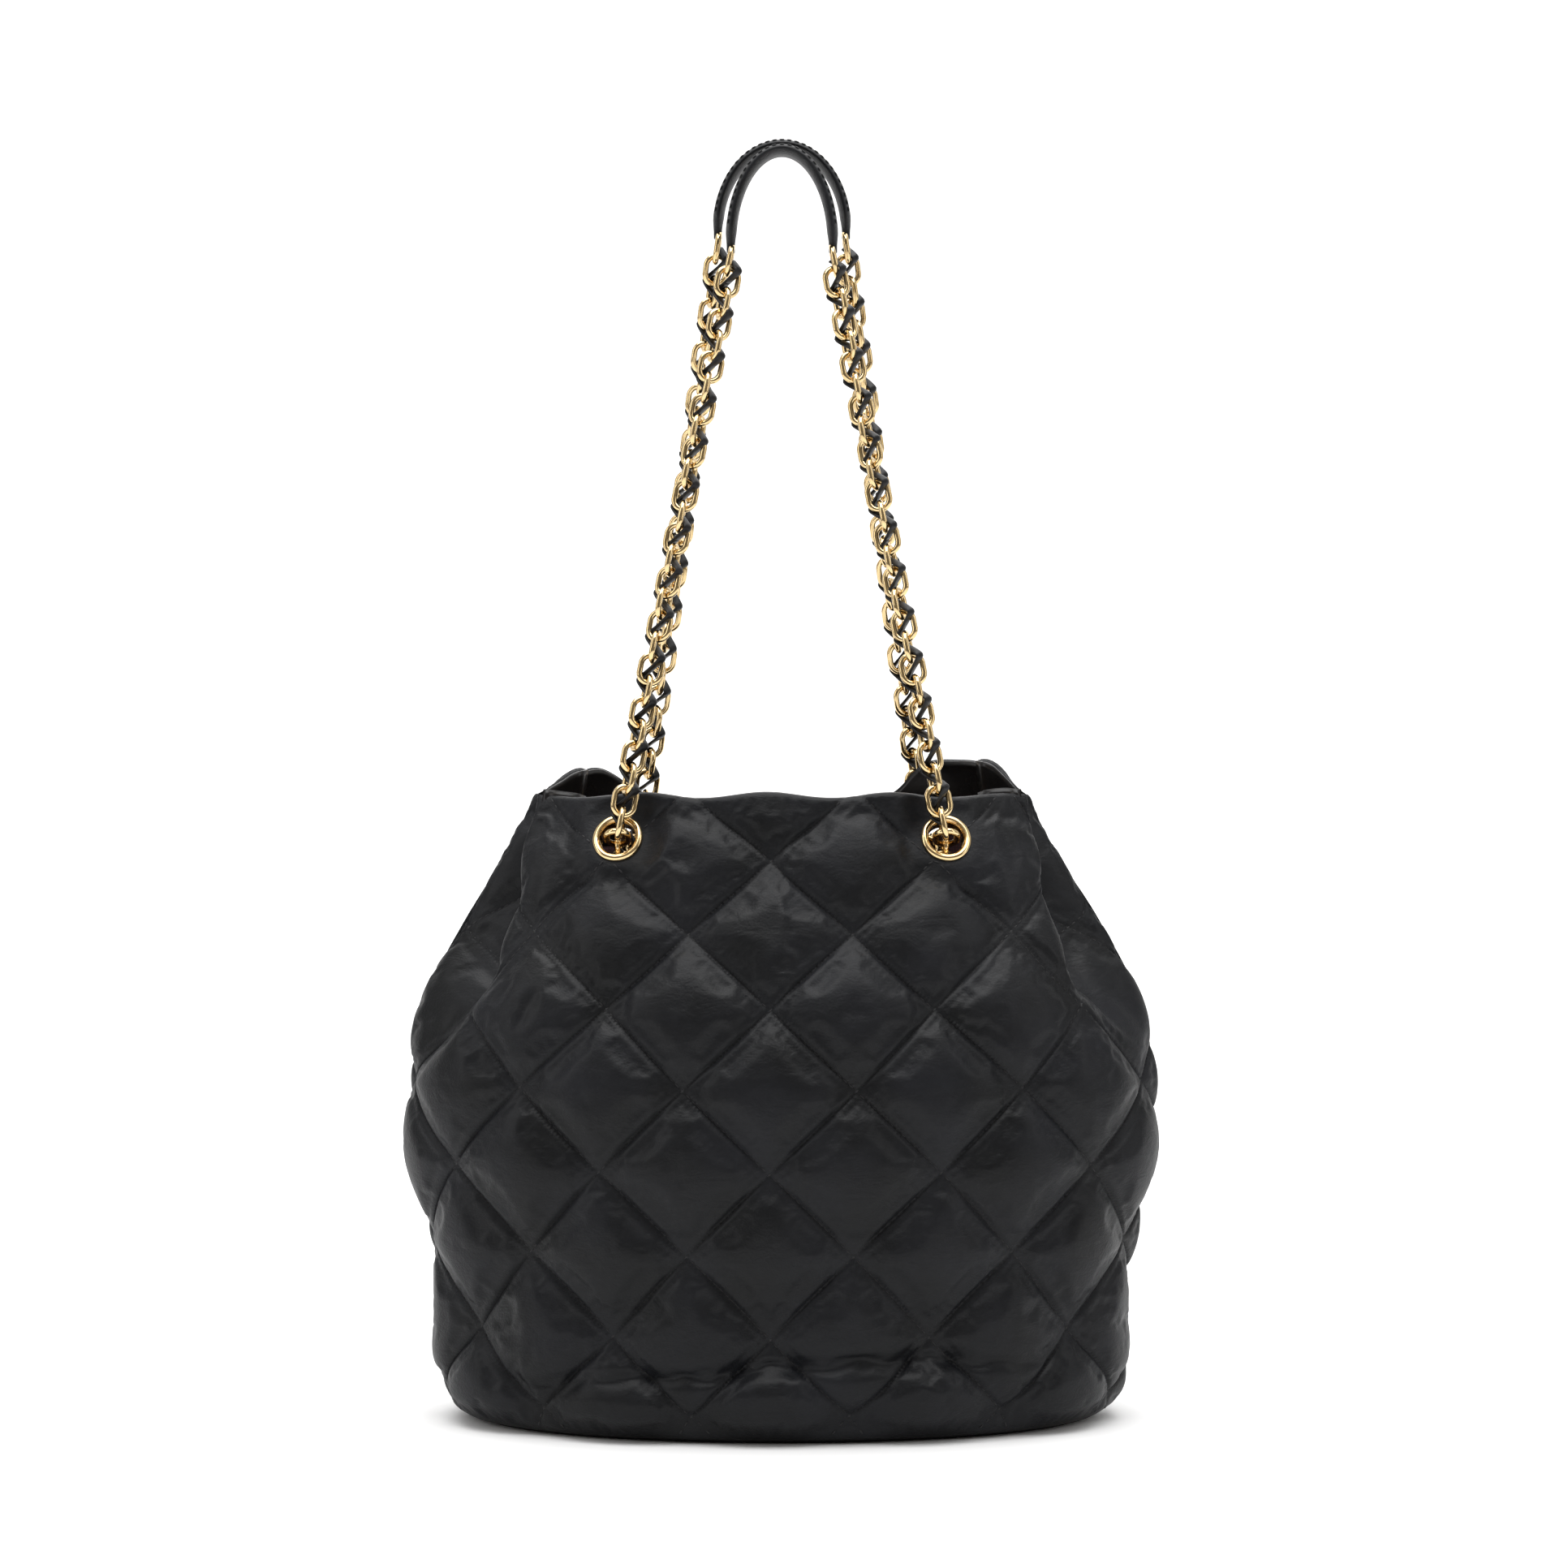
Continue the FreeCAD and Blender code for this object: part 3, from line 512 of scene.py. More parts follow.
    def panel(self, half: str, inset: float = 0.0) -> tuple[np.ndarray, np.ndarray]:
        """Smooth grid of one panel without its quilting.

        Args:
            half: Front or back.
            inset: How far inside the outer shape the grid lies.

        Returns:
            Points and outward directions, each rows by columns by three.
        """
        places = np.linspace(-self.seam, self.seam, self.columns)
        heights = self.height_of(self.levels())
        points = np.zeros((len(heights), self.columns, 3))
        for row, height in enumerate(heights):
            points[row, :, :2] = self.section(height, places)
            points[row, :, 2] = height
        up_to_rim = smooth_step(self.height - 62 * MM, self.height, heights)[:, None]
        points[..., 2] += up_to_rim * self.rim_shift(half, points[..., 0])
        outward = unit(np.cross(np.gradient(points, axis=1), np.gradient(points, axis=0)))
        points -= outward * inset
        if half == "back":
            points[..., 1] *= -1
            outward[..., 1] *= -1
        return points, outward

    def crossing_numbers(self) -> tuple[np.ndarray, np.ndarray]:
        """Row and column numbers of the grid, counted from a crossing of the quilting."""
        step = self.cell_tall / self.steps
        rows = np.rint(self.levels() / step).astype(int)
        columns = np.arange(self.columns) - (self.columns - 1) // 2 - self.lattice_shift
        return rows, columns

    def quilting(self, fine: int = 1) -> tuple[np.ndarray, np.ndarray]:
        """For each point of a grid, its share of the way from the nearest seam of the two families.

        Args:
            fine: Steps of the grid for each of the panel's.
        """
        rows, columns = self.crossing_numbers()
        if fine > 1:
            rows, columns = (np.linspace(numbers[0], numbers[-1], fine * (len(numbers) - 1) + 1)
                             for numbers in (rows, columns))
        shares = []
        for sign in (1, -1):
            count = (columns[None, :] + sign * rows[:, None]) / self.steps
            shares.append(np.abs(count - np.rint(count)) * 2)
        return shares[0], shares[1]


@dataclass
class EyeletSeat:
    """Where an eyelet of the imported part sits, read from its mesh."""

    centre: np.ndarray
    axis: np.ndarray

    @classmethod
    def read(cls, node: Thing, outward_y: float) -> "EyeletSeat":
        """Finds the axis and the bead's outer face of an eyelet."""
        points = np.array([v.co[:] for v in node.data.vertices])
        low, high = points.min(axis=0), points.max(axis=0)
        middle = (low + high) / 2
        bead = 2.0 * MM
        spread = np.linalg.eigh(np.cov((points - points.mean(axis=0)).T))[1]
        axis = min((spread[:, i] for i in range(3)), key=lambda a: abs(abs(a[1]) - 1))
        axis = axis if axis[1] * outward_y > 0 else -axis
        along = (points - middle) @ axis
        level = unit(np.cross(axis, (0, 0, 1)))
        centre = middle + axis * (along.max() - bead)
        for way in (level, np.cross(level, axis)):
            spots = (points - middle) @ way
            centre = centre + way * (spots.max() + spots.min()) / 2
        return cls(centre, axis)


# ---- layers of the bag
def enlarged(grid: np.ndarray) -> np.ndarray:
    """Grid with a new row and column halfway between each pair, on smooth curves through the old ones."""
    for axis in (0, 1):
        grid = np.moveaxis(grid, axis, 0)
        padded = np.concatenate([2 * grid[:1] - grid[1:2], grid, 2 * grid[-1:] - grid[-2:-1]])
        middles = (9 * (padded[1:-2] + padded[2:-1]) - padded[:-3] - padded[3:]) / 16
        more = np.empty((2 * len(grid) - 1, *grid.shape[1:]))
        more[0::2] = grid
        more[1::2] = middles
        grid = np.moveaxis(more, 0, axis)
    return grid


def grid_normals(grid: np.ndarray, outward_y: float) -> np.ndarray:
    """Directions square to a panel's grid, away from the inside of the bag."""
    normals = unit(np.cross(np.gradient(grid, axis=1), np.gradient(grid, axis=0)))
    return normals if outward_y < 0 else -normals


def walled(name: str, outer: np.ndarray, inner: np.ndarray, kept: np.ndarray,
           material: Material) -> Thing:
    """Closed piece between two grids.

    Args:
        name: Name of the piece.
        outer: Outer grid, with as many rows and columns as inner or with a point more between each pair.
        inner: Inner grid.
        kept: For each cell of the inner grid, whether the piece has it.
        material: Its finish.

    Returns:
        The closed piece.
    """
    rows, columns = inner.shape[:2]
    fine = (outer.shape[0] - 1) // (rows - 1)
    wide = outer.shape[1]
    start = outer.shape[0] * wide
    faces = []
    edges = {}
    for row, column in zip(*np.nonzero(kept)):
        for r in range(row * fine, row * fine + fine):
            for c in range(column * fine, column * fine + fine):
                here = r * wide + c
                faces.append((here, here + 1, here + wide + 1, here + wide))
        here = start + row * columns + column
        faces.append((here, here + columns, here + columns + 1, here + 1))
        corners = [(row, column), (row, column + 1), (row + 1, column + 1), (row + 1, column)]
        for first, second in zip(corners, corners[1:] + corners[:1]):
            if (second, first) in edges:
                del edges[second, first]
            else:
                edges[first, second] = True
    for first, second in edges:
        (r0, c0), (r1, c1) = first, second
        middle = ((r0 + r1) * fine // 2) * wide + (c0 + c1) * fine // 2
        top = [r1 * fine * wide + c1 * fine, middle, r0 * fine * wide + c0 * fine]
        if fine == 1:
            top.pop(1)
        faces.append((*top, start + r0 * columns + c0, start + r1 * columns + c1))
    points = np.concatenate([outer.reshape(-1, 3), inner.reshape(-1, 3)])
    used = np.unique(np.concatenate([np.array(f) for f in faces]))
    number = np.full(len(points), -1)
    number[used] = np.arange(len(used))
    piece = new_object(name, points[used], [tuple(int(number[i]) for i in f) for f in faces], material)
    outward_faces(piece)
    return piece


@dataclass
class Seats:
    """Flat places that the eyelets clamp, each given by its centre, axis and how far it reaches."""

    seats: list[EyeletSeat]
    flat: float = 13.5 * MM
    soft: float = 27.0 * MM
    hole: float = 9.6 * MM
    other_side: float = 40.0 * MM  # further along the axis than this is another wall of the bag

    def press(self, grid: np.ndarray, depth: float) -> np.ndarray:
        """Presses a grid onto a plane some depth under each eyelet's bead."""
        for seat in self.seats:
            way = grid - seat.centre
            along = way @ seat.axis
            reach = np.linalg.norm(way - along[..., None] * seat.axis, axis=-1)
            weight = 1 - smooth_step(self.flat, self.soft, reach)
            weight *= np.abs(along) < self.other_side
            grid = grid - ((along + depth) * weight)[..., None] * seat.axis
        return grid

    def kept(self, grid: np.ndarray) -> np.ndarray:
        """Cells of a grid that are clear of the eyelets' barrels."""
        middles = (grid[1:, 1:] + grid[:-1, 1:] + grid[1:, :-1] + grid[:-1, :-1]) / 4
        keep = np.ones(middles.shape[:2], bool)
        for seat in self.seats:
            way = middles - seat.centre
            along = way @ seat.axis
            reach = np.linalg.norm(way - along[..., None] * seat.axis, axis=-1)
            keep &= (reach > self.hole) | (np.abs(along) > self.other_side)
        return keep


@dataclass
class QuiltedHalf:
    """One half of the bag: quilted leather outside, wadding, facing and lining inside."""

    half: str
    form: BagForm
    seats: Seats
    leather: float = 1.4 * MM
    gap: float = 0.2 * MM
    facing_depth: float = 38.0 * MM
    facing_thick: float = 1.2 * MM
    lining_thick: float = 1.0 * MM
    grip: float = 3.3 * MM
    rim_gather: float = 5.0 * MM
    body_gather: float = 8.8 * MM
    fold_gather: float = 4.6 * MM
    rim_radius: float = 3.2 * MM
    sag_frames: int = 16
    ease: float = -0.02
    most_move: float = 2.2 * MM
    most_sunk: float = 0.7 * MM
    puff_power: float = 0.42  # how flat-topped the pillows are
    seam_level: float = 0.72  # share of a pillow's height that the seams lie below the smooth panel
    crease_height: float = 33.0 * MM
    crease_deep: float = 3.6 * MM
    crease_bulge: float = 2.4 * MM
    outer: np.ndarray | None = None

    def pleated(self, grid: np.ndarray) -> np.ndarray:
        """How much each point of a grid belongs to the folds beside the flat of the panel."""
        places = np.abs(np.linspace(-self.form.seam, self.form.seam, grid.shape[1]))[None, :]
        return smooth_step(88 * MM, 116 * MM, places) * smooth_step(0.16, 0.205, grid[..., 2])

    def pattern(self, grid: np.ndarray, outward: np.ndarray, fine: int) -> np.ndarray:
        """Raises the quilted pillows, rolls the rim and slackens the foot of a smooth grid."""
        form = self.form
        shares = form.quilting(fine)
        puff = (np.sin(math.pi / 2 * shares[0]) * np.sin(math.pi / 2 * shares[1])) ** self.puff_power
        height = grid[..., 2]
        places = np.linspace(-form.seam, form.seam, grid.shape[1])[None, :]
        from_side = (form.seam - np.abs(places)) * np.ones_like(height)
        rim_height = grid[-1, :, 2][None, :]
        from_rim = np.maximum(rim_height - height, 0)
        low = height - grid[0, :, 2][None, :]
        puff = puff * np.sqrt(smooth_step(-1 * MM, 11 * MM, from_side))
        puff = puff * np.sqrt(smooth_step(-4 * MM, 12 * MM, low))
        fade = 0.35 + 0.65 * smooth_step(0, 16 * MM, from_rim)
        fade = fade * smooth_step(0, 13 * MM, low) * (1 - 0.55 * self.pleated(grid))
        lift = form.pillow * (puff - self.seam_level) * fade
        turned = np.clip(self.rim_radius - from_rim, 0, self.rim_radius)
        lift -= self.rim_radius - np.sqrt(np.maximum(self.rim_radius ** 2 - turned ** 2, 0))
        crease = self.crease_height + 6 * MM * np.sin(grid[..., 0] / (61 * MM) + 0.6)
        slack = smooth_step(0.2, 0.75, 1 - np.abs(places) / form.seam)
        lift -= self.crease_deep * slack * np.exp(-((height - crease) / (4.5 * MM)) ** 2)
        lift += self.crease_bulge * slack * np.exp(-((height - crease + 14 * MM) / (9 * MM)) ** 2)
        return grid + outward * lift[..., None]

    def crumpled(self, coarse: np.ndarray, anchored: np.ndarray) -> np.ndarray:
        """Lets the leather between the seams buckle as cloth, and returns how far each point moved."""
        rows, columns = coarse.shape[:2]
        cloth = new_object(self.half + "_cloth", coarse.reshape(-1, 3), grid_faces(rows, columns))
        group = cloth.vertex_groups.new(name="held")
        for number, weight in enumerate(anchored.reshape(-1)):
            if weight > 0.02:
                group.add([number], float(weight), "REPLACE")
        made = cloth.modifiers.new("Cloth", "CLOTH")
        settings = {
            "vertex_group_mass": "held", "quality": 6, "mass": 0.4, "tension_stiffness": 25,
            "compression_stiffness": 25, "shear_stiffness": 12, "bending_stiffness": 0.6,
            "shrink_min": self.ease, "shrink_max": self.ease, "use_pressure": True,
            "uniform_pressure_force": -3.0 * FACING_SIGN[self.half]}
        for name, value in settings.items():
            setattr(made.settings, name, value)
        made.settings.effector_weights.gravity = 0
        made.collision_settings.use_collision = False
        made.point_cache.frame_start = 1
        made.point_cache.frame_end = self.sag_frames
        scene = bpy.context.scene
        for number in range(1, self.sag_frames + 1):
            scene.frame_set(number)
        graph = bpy.context.evaluated_depsgraph_get()
        settled = cloth.evaluated_get(graph).data
        moved = np.zeros(rows * columns * 3)
        settled.vertices.foreach_get("co", moved)
        move = moved.reshape(rows, columns, 3) - coarse
        scene.frame_set(1)
        bpy.data.objects.remove(cloth)
        length = np.linalg.norm(move, axis=-1, keepdims=True)
        move *= self.most_move * np.tanh(length / self.most_move) / np.maximum(length, 1e-9)
        log.info("%s leather settled, moving %.1f mm at most", self.half, length.max() / MM)
        return move

    def anchors(self, grid: np.ndarray) -> np.ndarray:
        """How firmly each point is held: along seams, at the rim, and at the eyelets."""
        first, second = self.form.quilting()
        near = np.minimum(first, second)
        held = 1 - smooth_step(0.0, 0.16, near)
        rows, columns = grid.shape[:2]
        edge = np.minimum(np.arange(columns), np.arange(columns)[::-1])[None, :]
        held = np.maximum(held, edge < 1)
        held = np.maximum(held, (np.arange(rows) < 2)[:, None])
        held = np.maximum(held, 1 - smooth_step(1, 6, np.arange(rows)[::-1])[:, None])
        for seat in self.seats.seats:
            away = np.linalg.norm(grid - seat.centre, axis=-1)
            held = np.maximum(held, 1 - smooth_step(14 * MM, 28 * MM, away))
        return held

    def build(self, finishes: "Finishes") -> None:
        """Builds the half's four layers."""
        form, half = self.form, self.half
        sign = FACING_SIGN[half]
        base, outward = form.panel(half)
        coarse = self.pattern(base, outward, 1)
        move = self.crumpled(coarse, self.anchors(coarse))
        sunk = np.sum(move * outward, axis=-1, keepdims=True)
        move += outward * (np.maximum(sunk, -self.most_sunk) - sunk)
        fine_base = enlarged(base)
        fine_out = grid_normals(fine_base, sign)
        outer = self.seats.press(self.pattern(fine_base, fine_out, 2) + enlarged(move), 0.0)
        self.outer = outer
        normals = grid_normals(outer, sign)
        inner = outer[::2, ::2] - normals[::2, ::2] * self.leather
        pieces = [walled(half + "_quilted_leather", outer, inner,
                         self.seats.kept(inner), finishes.leather)]
        from_rim = base[-1, :, 2][None, :] - base[..., 2]
        inwards = smooth_step(2 * MM, 26 * MM, from_rim)
        gather = self.rim_gather + (self.body_gather - self.rim_gather) * inwards
        fold = self.pleated(base)
        gather = gather * (1 - fold) + self.fold_gather * fold
        inside = self.seats.press(base - outward * gather[..., None], self.grip)
        keep = self.seats.kept(inside)
        cell_drop = from_rim[:-1, :-1]
        wadding_out = inner - normals[::2, ::2] * self.gap
        wadding_in = inside + outward * self.gap
        pieces.append(walled(half + "_quilt_wadding", wadding_out, wadding_in,
                             keep & (cell_drop > 5 * MM), finishes.wadding))
        facing_in = inside - grid_normals(inside, sign) * self.facing_thick
        in_facing = keep & (cell_drop <= self.facing_depth) & (cell_drop > 0.8 * MM)
        pieces.append(walled(half + "_glossy_facing", inside, facing_in, in_facing, finishes.facing))
        lining_in = inside - grid_normals(inside, sign) * self.lining_thick
        in_lining = keep & (cell_drop > self.facing_depth + 1.2 * MM)
        pieces.append(walled(half + "_woven_lining", inside, lining_in, in_lining, finishes.lining))
        for piece, node in zip(pieces, ("panel", "wadding", "facing", "lining")):
            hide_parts("%s_%s" % (half, node))
            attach(piece, "bag")
            log.info("%s has %d faces", piece.name, len(piece.data.polygons))


# ---- chains and laces
def instanced(name: str, tree: Tree, curve: Thing | None = None,
              **values) -> Thing:
    """Runs a node tree on an empty mesh or a given object and keeps its result as a plain mesh.

    Args:
        name: Name of the piece.
        tree: Tree whose named inputs are set.
        curve: Object that carries the tree, or nothing for an empty one.
        values: Value of each named input, spaces in its name as underscores.

    Returns:
        The finished piece.
    """
    thing = curve or new_object(name, np.zeros((0, 3)), [])
    made = thing.modifiers.new("Build", "NODES")
    made.node_group = tree
    for item in tree.interface.items_tree:
        key = item.name.replace(" ", "_")
        if item.item_type == "SOCKET" and item.in_out == "INPUT" and key in values:
            made[item.identifier] = values[key]
    thing.update_tag()
    return frozen(thing)


def node_tree(name: str, inputs: dict[str, tuple[str, object]]) -> tuple[Tree, dict]:
    """Starts a geometry tree with a geometry input and output and named inputs.

    Args:
        name: Name of the tree.
        inputs: For each input its socket type and its value to begin with.

    Returns:
        The tree and its inputs by name, the geometry at 0.
    """
    tree = bpy.data.node_groups.new(name, "GeometryNodeTree")
    tree.interface.new_socket("Geometry", in_out="INPUT", socket_type="NodeSocketGeometry")
    tree.interface.new_socket("Geometry", in_out="OUTPUT", socket_type="NodeSocketGeometry")
    for label, (kind, value) in inputs.items():
        socket = tree.interface.new_socket(label, in_out="INPUT", socket_type=kind)
        if value is not None:
            socket.default_value = value
    return tree, add_node(tree, "NodeGroupInput").outputs


def end_tree(tree: Tree, instances: Socket,
             material: Socket) -> None:
    """Makes instances real, gives them their finish and links them to the tree's output."""
    real = add_node(tree, "GeometryNodeRealizeInstances", {0: instances})
    smooth = add_node(tree, "GeometryNodeSetShadeSmooth", {0: real.outputs[0]})
    done = add_node(tree, "GeometryNodeSetMaterial", {
        "Geometry": smooth.outputs[0], "Material": material})
    add_node(tree, "NodeGroupOutput", {0: done.outputs[0]})


@dataclass
class ChainLink:
    """One oval ring of round wire, long way along Z and wide way along X."""

    length: float = 16.7 * MM
    width: float = 13.0 * MM
    wire: float = 2.9 * MM
    turns: int = 26
    round_wire: int = 10

    @property
    def pitch(self) -> float:
        """Distance between the middles of neighbouring links."""
        return self.length - 2 * self.wire - 0.3 * MM

    def build(self) -> Thing:
        """Builds the ring as a mesh without a finish."""
        bend = (self.width - self.wire) / 2
        straight = (self.length - self.width) / 2
        turn = np.linspace(0, 2 * math.pi, self.turns, endpoint=False) + math.pi / self.turns
        away = np.stack([np.cos(turn), np.zeros_like(turn), np.sin(turn)], axis=1)
        middle = bend * away + np.sign(away[:, 2:3]) * straight * np.array([0, 0, 1])
        around = np.linspace(0, 2 * math.pi, self.round_wire, endpoint=False)
        upward = np.array([0, 1, 0])
        points = middle[:, None] + self.wire / 2 * (
            np.cos(around)[None, :, None] * away[:, None] + np.sin(around)[None, :, None] * upward)
        faces = grid_faces(self.turns, self.round_wire, closed=True)
        last = (self.turns - 1) * self.round_wire
        for here in range(self.round_wire):
            beside = (here + 1) % self.round_wire
            faces.append((last + here, last + beside, beside, here))
        ring = new_object("ring", points.reshape(-1, 3), faces)
        outward_faces(ring)
        return ring


@dataclass
class ChainRun:
    """A straight run of chain links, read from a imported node."""

    first: np.ndarray
    along: np.ndarray
    count: int

    def centre(self, number: float) -> np.ndarray:
        """Middle of a link, counted from the run's first."""
        return self.first + self.along * (ChainLink().pitch * number)

    @classmethod
    def between(cls, middles: list[np.ndarray], counts: tuple[int, int]) -> list["ChainRun"]:
        """Two runs of one handle from the middles of both and how many links each has."""
        apart = middles[1] - middles[0]
        along = apart / np.linalg.norm(apart)
        pitch = ChainLink().pitch
        return [cls(middle - along * (pitch * (count - 1) / 2), along, count)
                for middle, count in zip(middles, counts)]

    def axes(self) -> tuple[np.ndarray, np.ndarray]:
        """Wide directions of an edge-on and of a facing link."""
        edge_on = unit(np.array([0, 1, 0]) - self.along * self.along[1])
        return edge_on, np.cross(self.along, edge_on)


def chain_tree() -> Tree:
    """Tree that sets out a ring at each place of a straight run, every other one a quarter turned."""
    tree, given = node_tree("chain_run", {
        "Count": ("NodeSocketInt", 13), "Start": ("NodeSocketVector", None),
        "Step": ("NodeSocketVector", None), "Turn": ("NodeSocketVector", None),
        "First Quarter": ("NodeSocketInt", 0),
        "Twist": ("NodeSocketFloat", 0.0), "Ring": ("NodeSocketObject", None),
        "Material": ("NodeSocketMaterial", None)})
    line = add_node(tree, "GeometryNodeMeshLine", {
        "Count": given["Count"], "Start Location": given["Start"],
        "Offset": given["Step"]}, mode="OFFSET")
    index = add_node(tree, "GeometryNodeInputIndex").outputs[0]
    quarter = maths(tree, "MULTIPLY", maths(tree, "ADD", index, given["First Quarter"]), math.pi / 2)
    wave = maths(tree, "MULTIPLY", maths(tree, "DIVIDE", index, given["Count"]), 2 * math.pi)
    turned = maths(tree, "MULTIPLY_ADD", maths(tree, "SINE", wave), given["Twist"], quarter)
    own = add_node(tree, "FunctionNodeAxisAngleToRotation", {"Axis": (0, 0, 1), "Angle": turned})
    base = add_node(tree, "FunctionNodeEulerToRotation", {0: given["Turn"]})
    both = add_node(tree, "FunctionNodeRotateRotation", {
        "Rotation": base.outputs[0], "Rotate By": own.outputs[0]}, rotation_space="LOCAL")
    ring = add_node(tree, "GeometryNodeObjectInfo", {"Object": given["Ring"]})
    placed = add_node(tree, "GeometryNodeInstanceOnPoints", {
        "Points": line.outputs["Mesh"], "Instance": ring.outputs["Geometry"], "Rotation": both.outputs[0]})
    end_tree(tree, placed.outputs[0], given["Material"])
    return tree


def stitch_tree() -> Tree:
    """Tree that lays short stitches at an even pitch along the edges of a mesh."""
    tree, given = node_tree("stitch_row", {
        "Pitch": ("NodeSocketFloat", 3.6 * MM), "Length": ("NodeSocketFloat", 2.6 * MM),
        "Radius": ("NodeSocketFloat", 0.38 * MM), "Material": ("NodeSocketMaterial", None)})
    curve = add_node(tree, "GeometryNodeMeshToCurve", {0: given[0]})
    even = add_node(tree, "GeometryNodeResampleCurve", {
        "Curve": curve.outputs[0], "Length": given["Pitch"]}, mode="LENGTH")
    tangent = add_node(tree, "GeometryNodeInputTangent")
    facing = add_node(tree, "FunctionNodeAlignRotationToVector", {"Vector": tangent.outputs[0]}, axis="Z")
    thread = add_node(tree, "GeometryNodeMeshUVSphere", {"Segments": 6, "Rings": 5, "Radius": 1.0})
    half = maths(tree, "MULTIPLY", given["Length"], 0.5)
    size = add_node(tree, "ShaderNodeCombineXYZ", {
        0: given["Radius"], 1: given["Radius"], 2: half})
    placed = add_node(tree, "GeometryNodeInstanceOnPoints", {
        "Points": even.outputs[0], "Instance": thread.outputs["Mesh"], "Rotation": facing.outputs[0],
        "Scale": size.outputs[0]})
    end_tree(tree, placed.outputs[0], given["Material"])
    return tree


@dataclass
class Lace:
    """Flat leather strip woven in and out of a run of chain."""

    wide: float = 4.7 * MM
    thick: float = 1.5 * MM
    swing: float = 6.0 * MM
    twist: float = math.radians(24)
    samples: int = 14

    def build(self, name: str, run: ChainRun, first: float, last: float,
              material: Material) -> Thing:
        """Builds the strip between two places of a run.

        Args:
            name: Name of the piece.
            run: Chain that the strip is woven through.
            first: Number of the link, counted from the run's first, at whose middle it begins.
            last: Number at which it ends.
            material: Its finish.

        Returns:
            The closed strip.
        """
        edge_on, facing = run.axes()
        beside = unit(edge_on + facing)
        number = np.linspace(first, last, max(int((last - first) * self.samples), 8))
        wave = np.arcsin(0.95 * np.sin(math.pi * number)) / math.asin(0.95)
        path = np.array([run.centre(n) for n in number]) + beside * (self.swing * wave)[:, None]
        square = np.cross(run.along, beside)
        lean = self.twist * np.cos(math.pi * number)
        wide = square * np.cos(lean)[:, None] + beside * np.sin(lean)[:, None]
        around = np.linspace(0, 2 * math.pi, 12, endpoint=False)
        flat = np.stack([squared(np.cos(around), 0.6) * self.wide / 2,
                         squared(np.sin(around), 0.8) * self.thick / 2], axis=1)
        return swept(path, wide, np.repeat(flat[None], len(path), axis=0), name, material)


@dataclass
class Handle:
    """One handle: two chains with laces, from two eyelets up to a leather shoulder pad."""

    half: str
    ring: Thing
    tree: Tree
    lower_links: int = 14
    upper_links: int = 12
    twist: float = math.radians(26)

    def runs(self, side: str) -> list[ChainRun]:
        """The lower and the upper run on one side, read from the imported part."""
        middles = []
        for part in ("lower", "upper"):
            low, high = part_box("%s_chain_%s_%s" % (self.half, part, side))
            middles.append((np.array(low) + np.array(high)) / 2)
        return ChainRun.between(middles, (self.lower_links, self.upper_links))

    def build(self, finishes: "Finishes") -> None:
        """Builds the chains and laces of both sides."""
        for side in SIDES:
            lower, upper = self.runs(side)
            for part, run, before in (("lower", lower, 0), ("upper", upper, self.lower_links)):
                edge_on, facing = run.axes()
                turn = Matrix(np.stack([edge_on, facing, run.along], axis=1)).to_euler()
                name = "%s_%s_%s" % (self.half, part, side)
                chain = instanced(name + "_rings", self.tree, Count=run.count, Start=tuple(run.first),
                                  Step=tuple(run.along * ChainLink().pitch), Turn=tuple(turn),
                                  First_Quarter=before, Twist=self.twist if part == "lower" else -self.twist,
                                  Ring=self.ring, Material=finishes.metal)
                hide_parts("%s_chain_%s_%s" % (self.half, part, side))
                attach(chain, "%s_%s_handle" % (self.half, part))
                lace = Lace().build(name + "_woven_lace", run, 0.0, run.count - 1.0, finishes.lace)
                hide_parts("%s_lace_%s_%s" % (self.half, part, side))
                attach(lace, "%s_%s_handle" % (self.half, part))
            for part, run, onward in (("fold", lower, ("lower_handle", "upper_handle")),
                                      ("top", upper, ("upper_handle", "pad"))):
                first, last = run.count - 1.0, float(run.count)
                crossing = Lace().build("%s_%s_%s_lace" % (self.half, part, side), run,
                                        first, last, finishes.lace)
                tuple(run.centre(first))
                tuple(run.centre(last))
                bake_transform(crossing)
            log.info("%s handle, %s side: %d links", self.half, side, lower.count + upper.count)


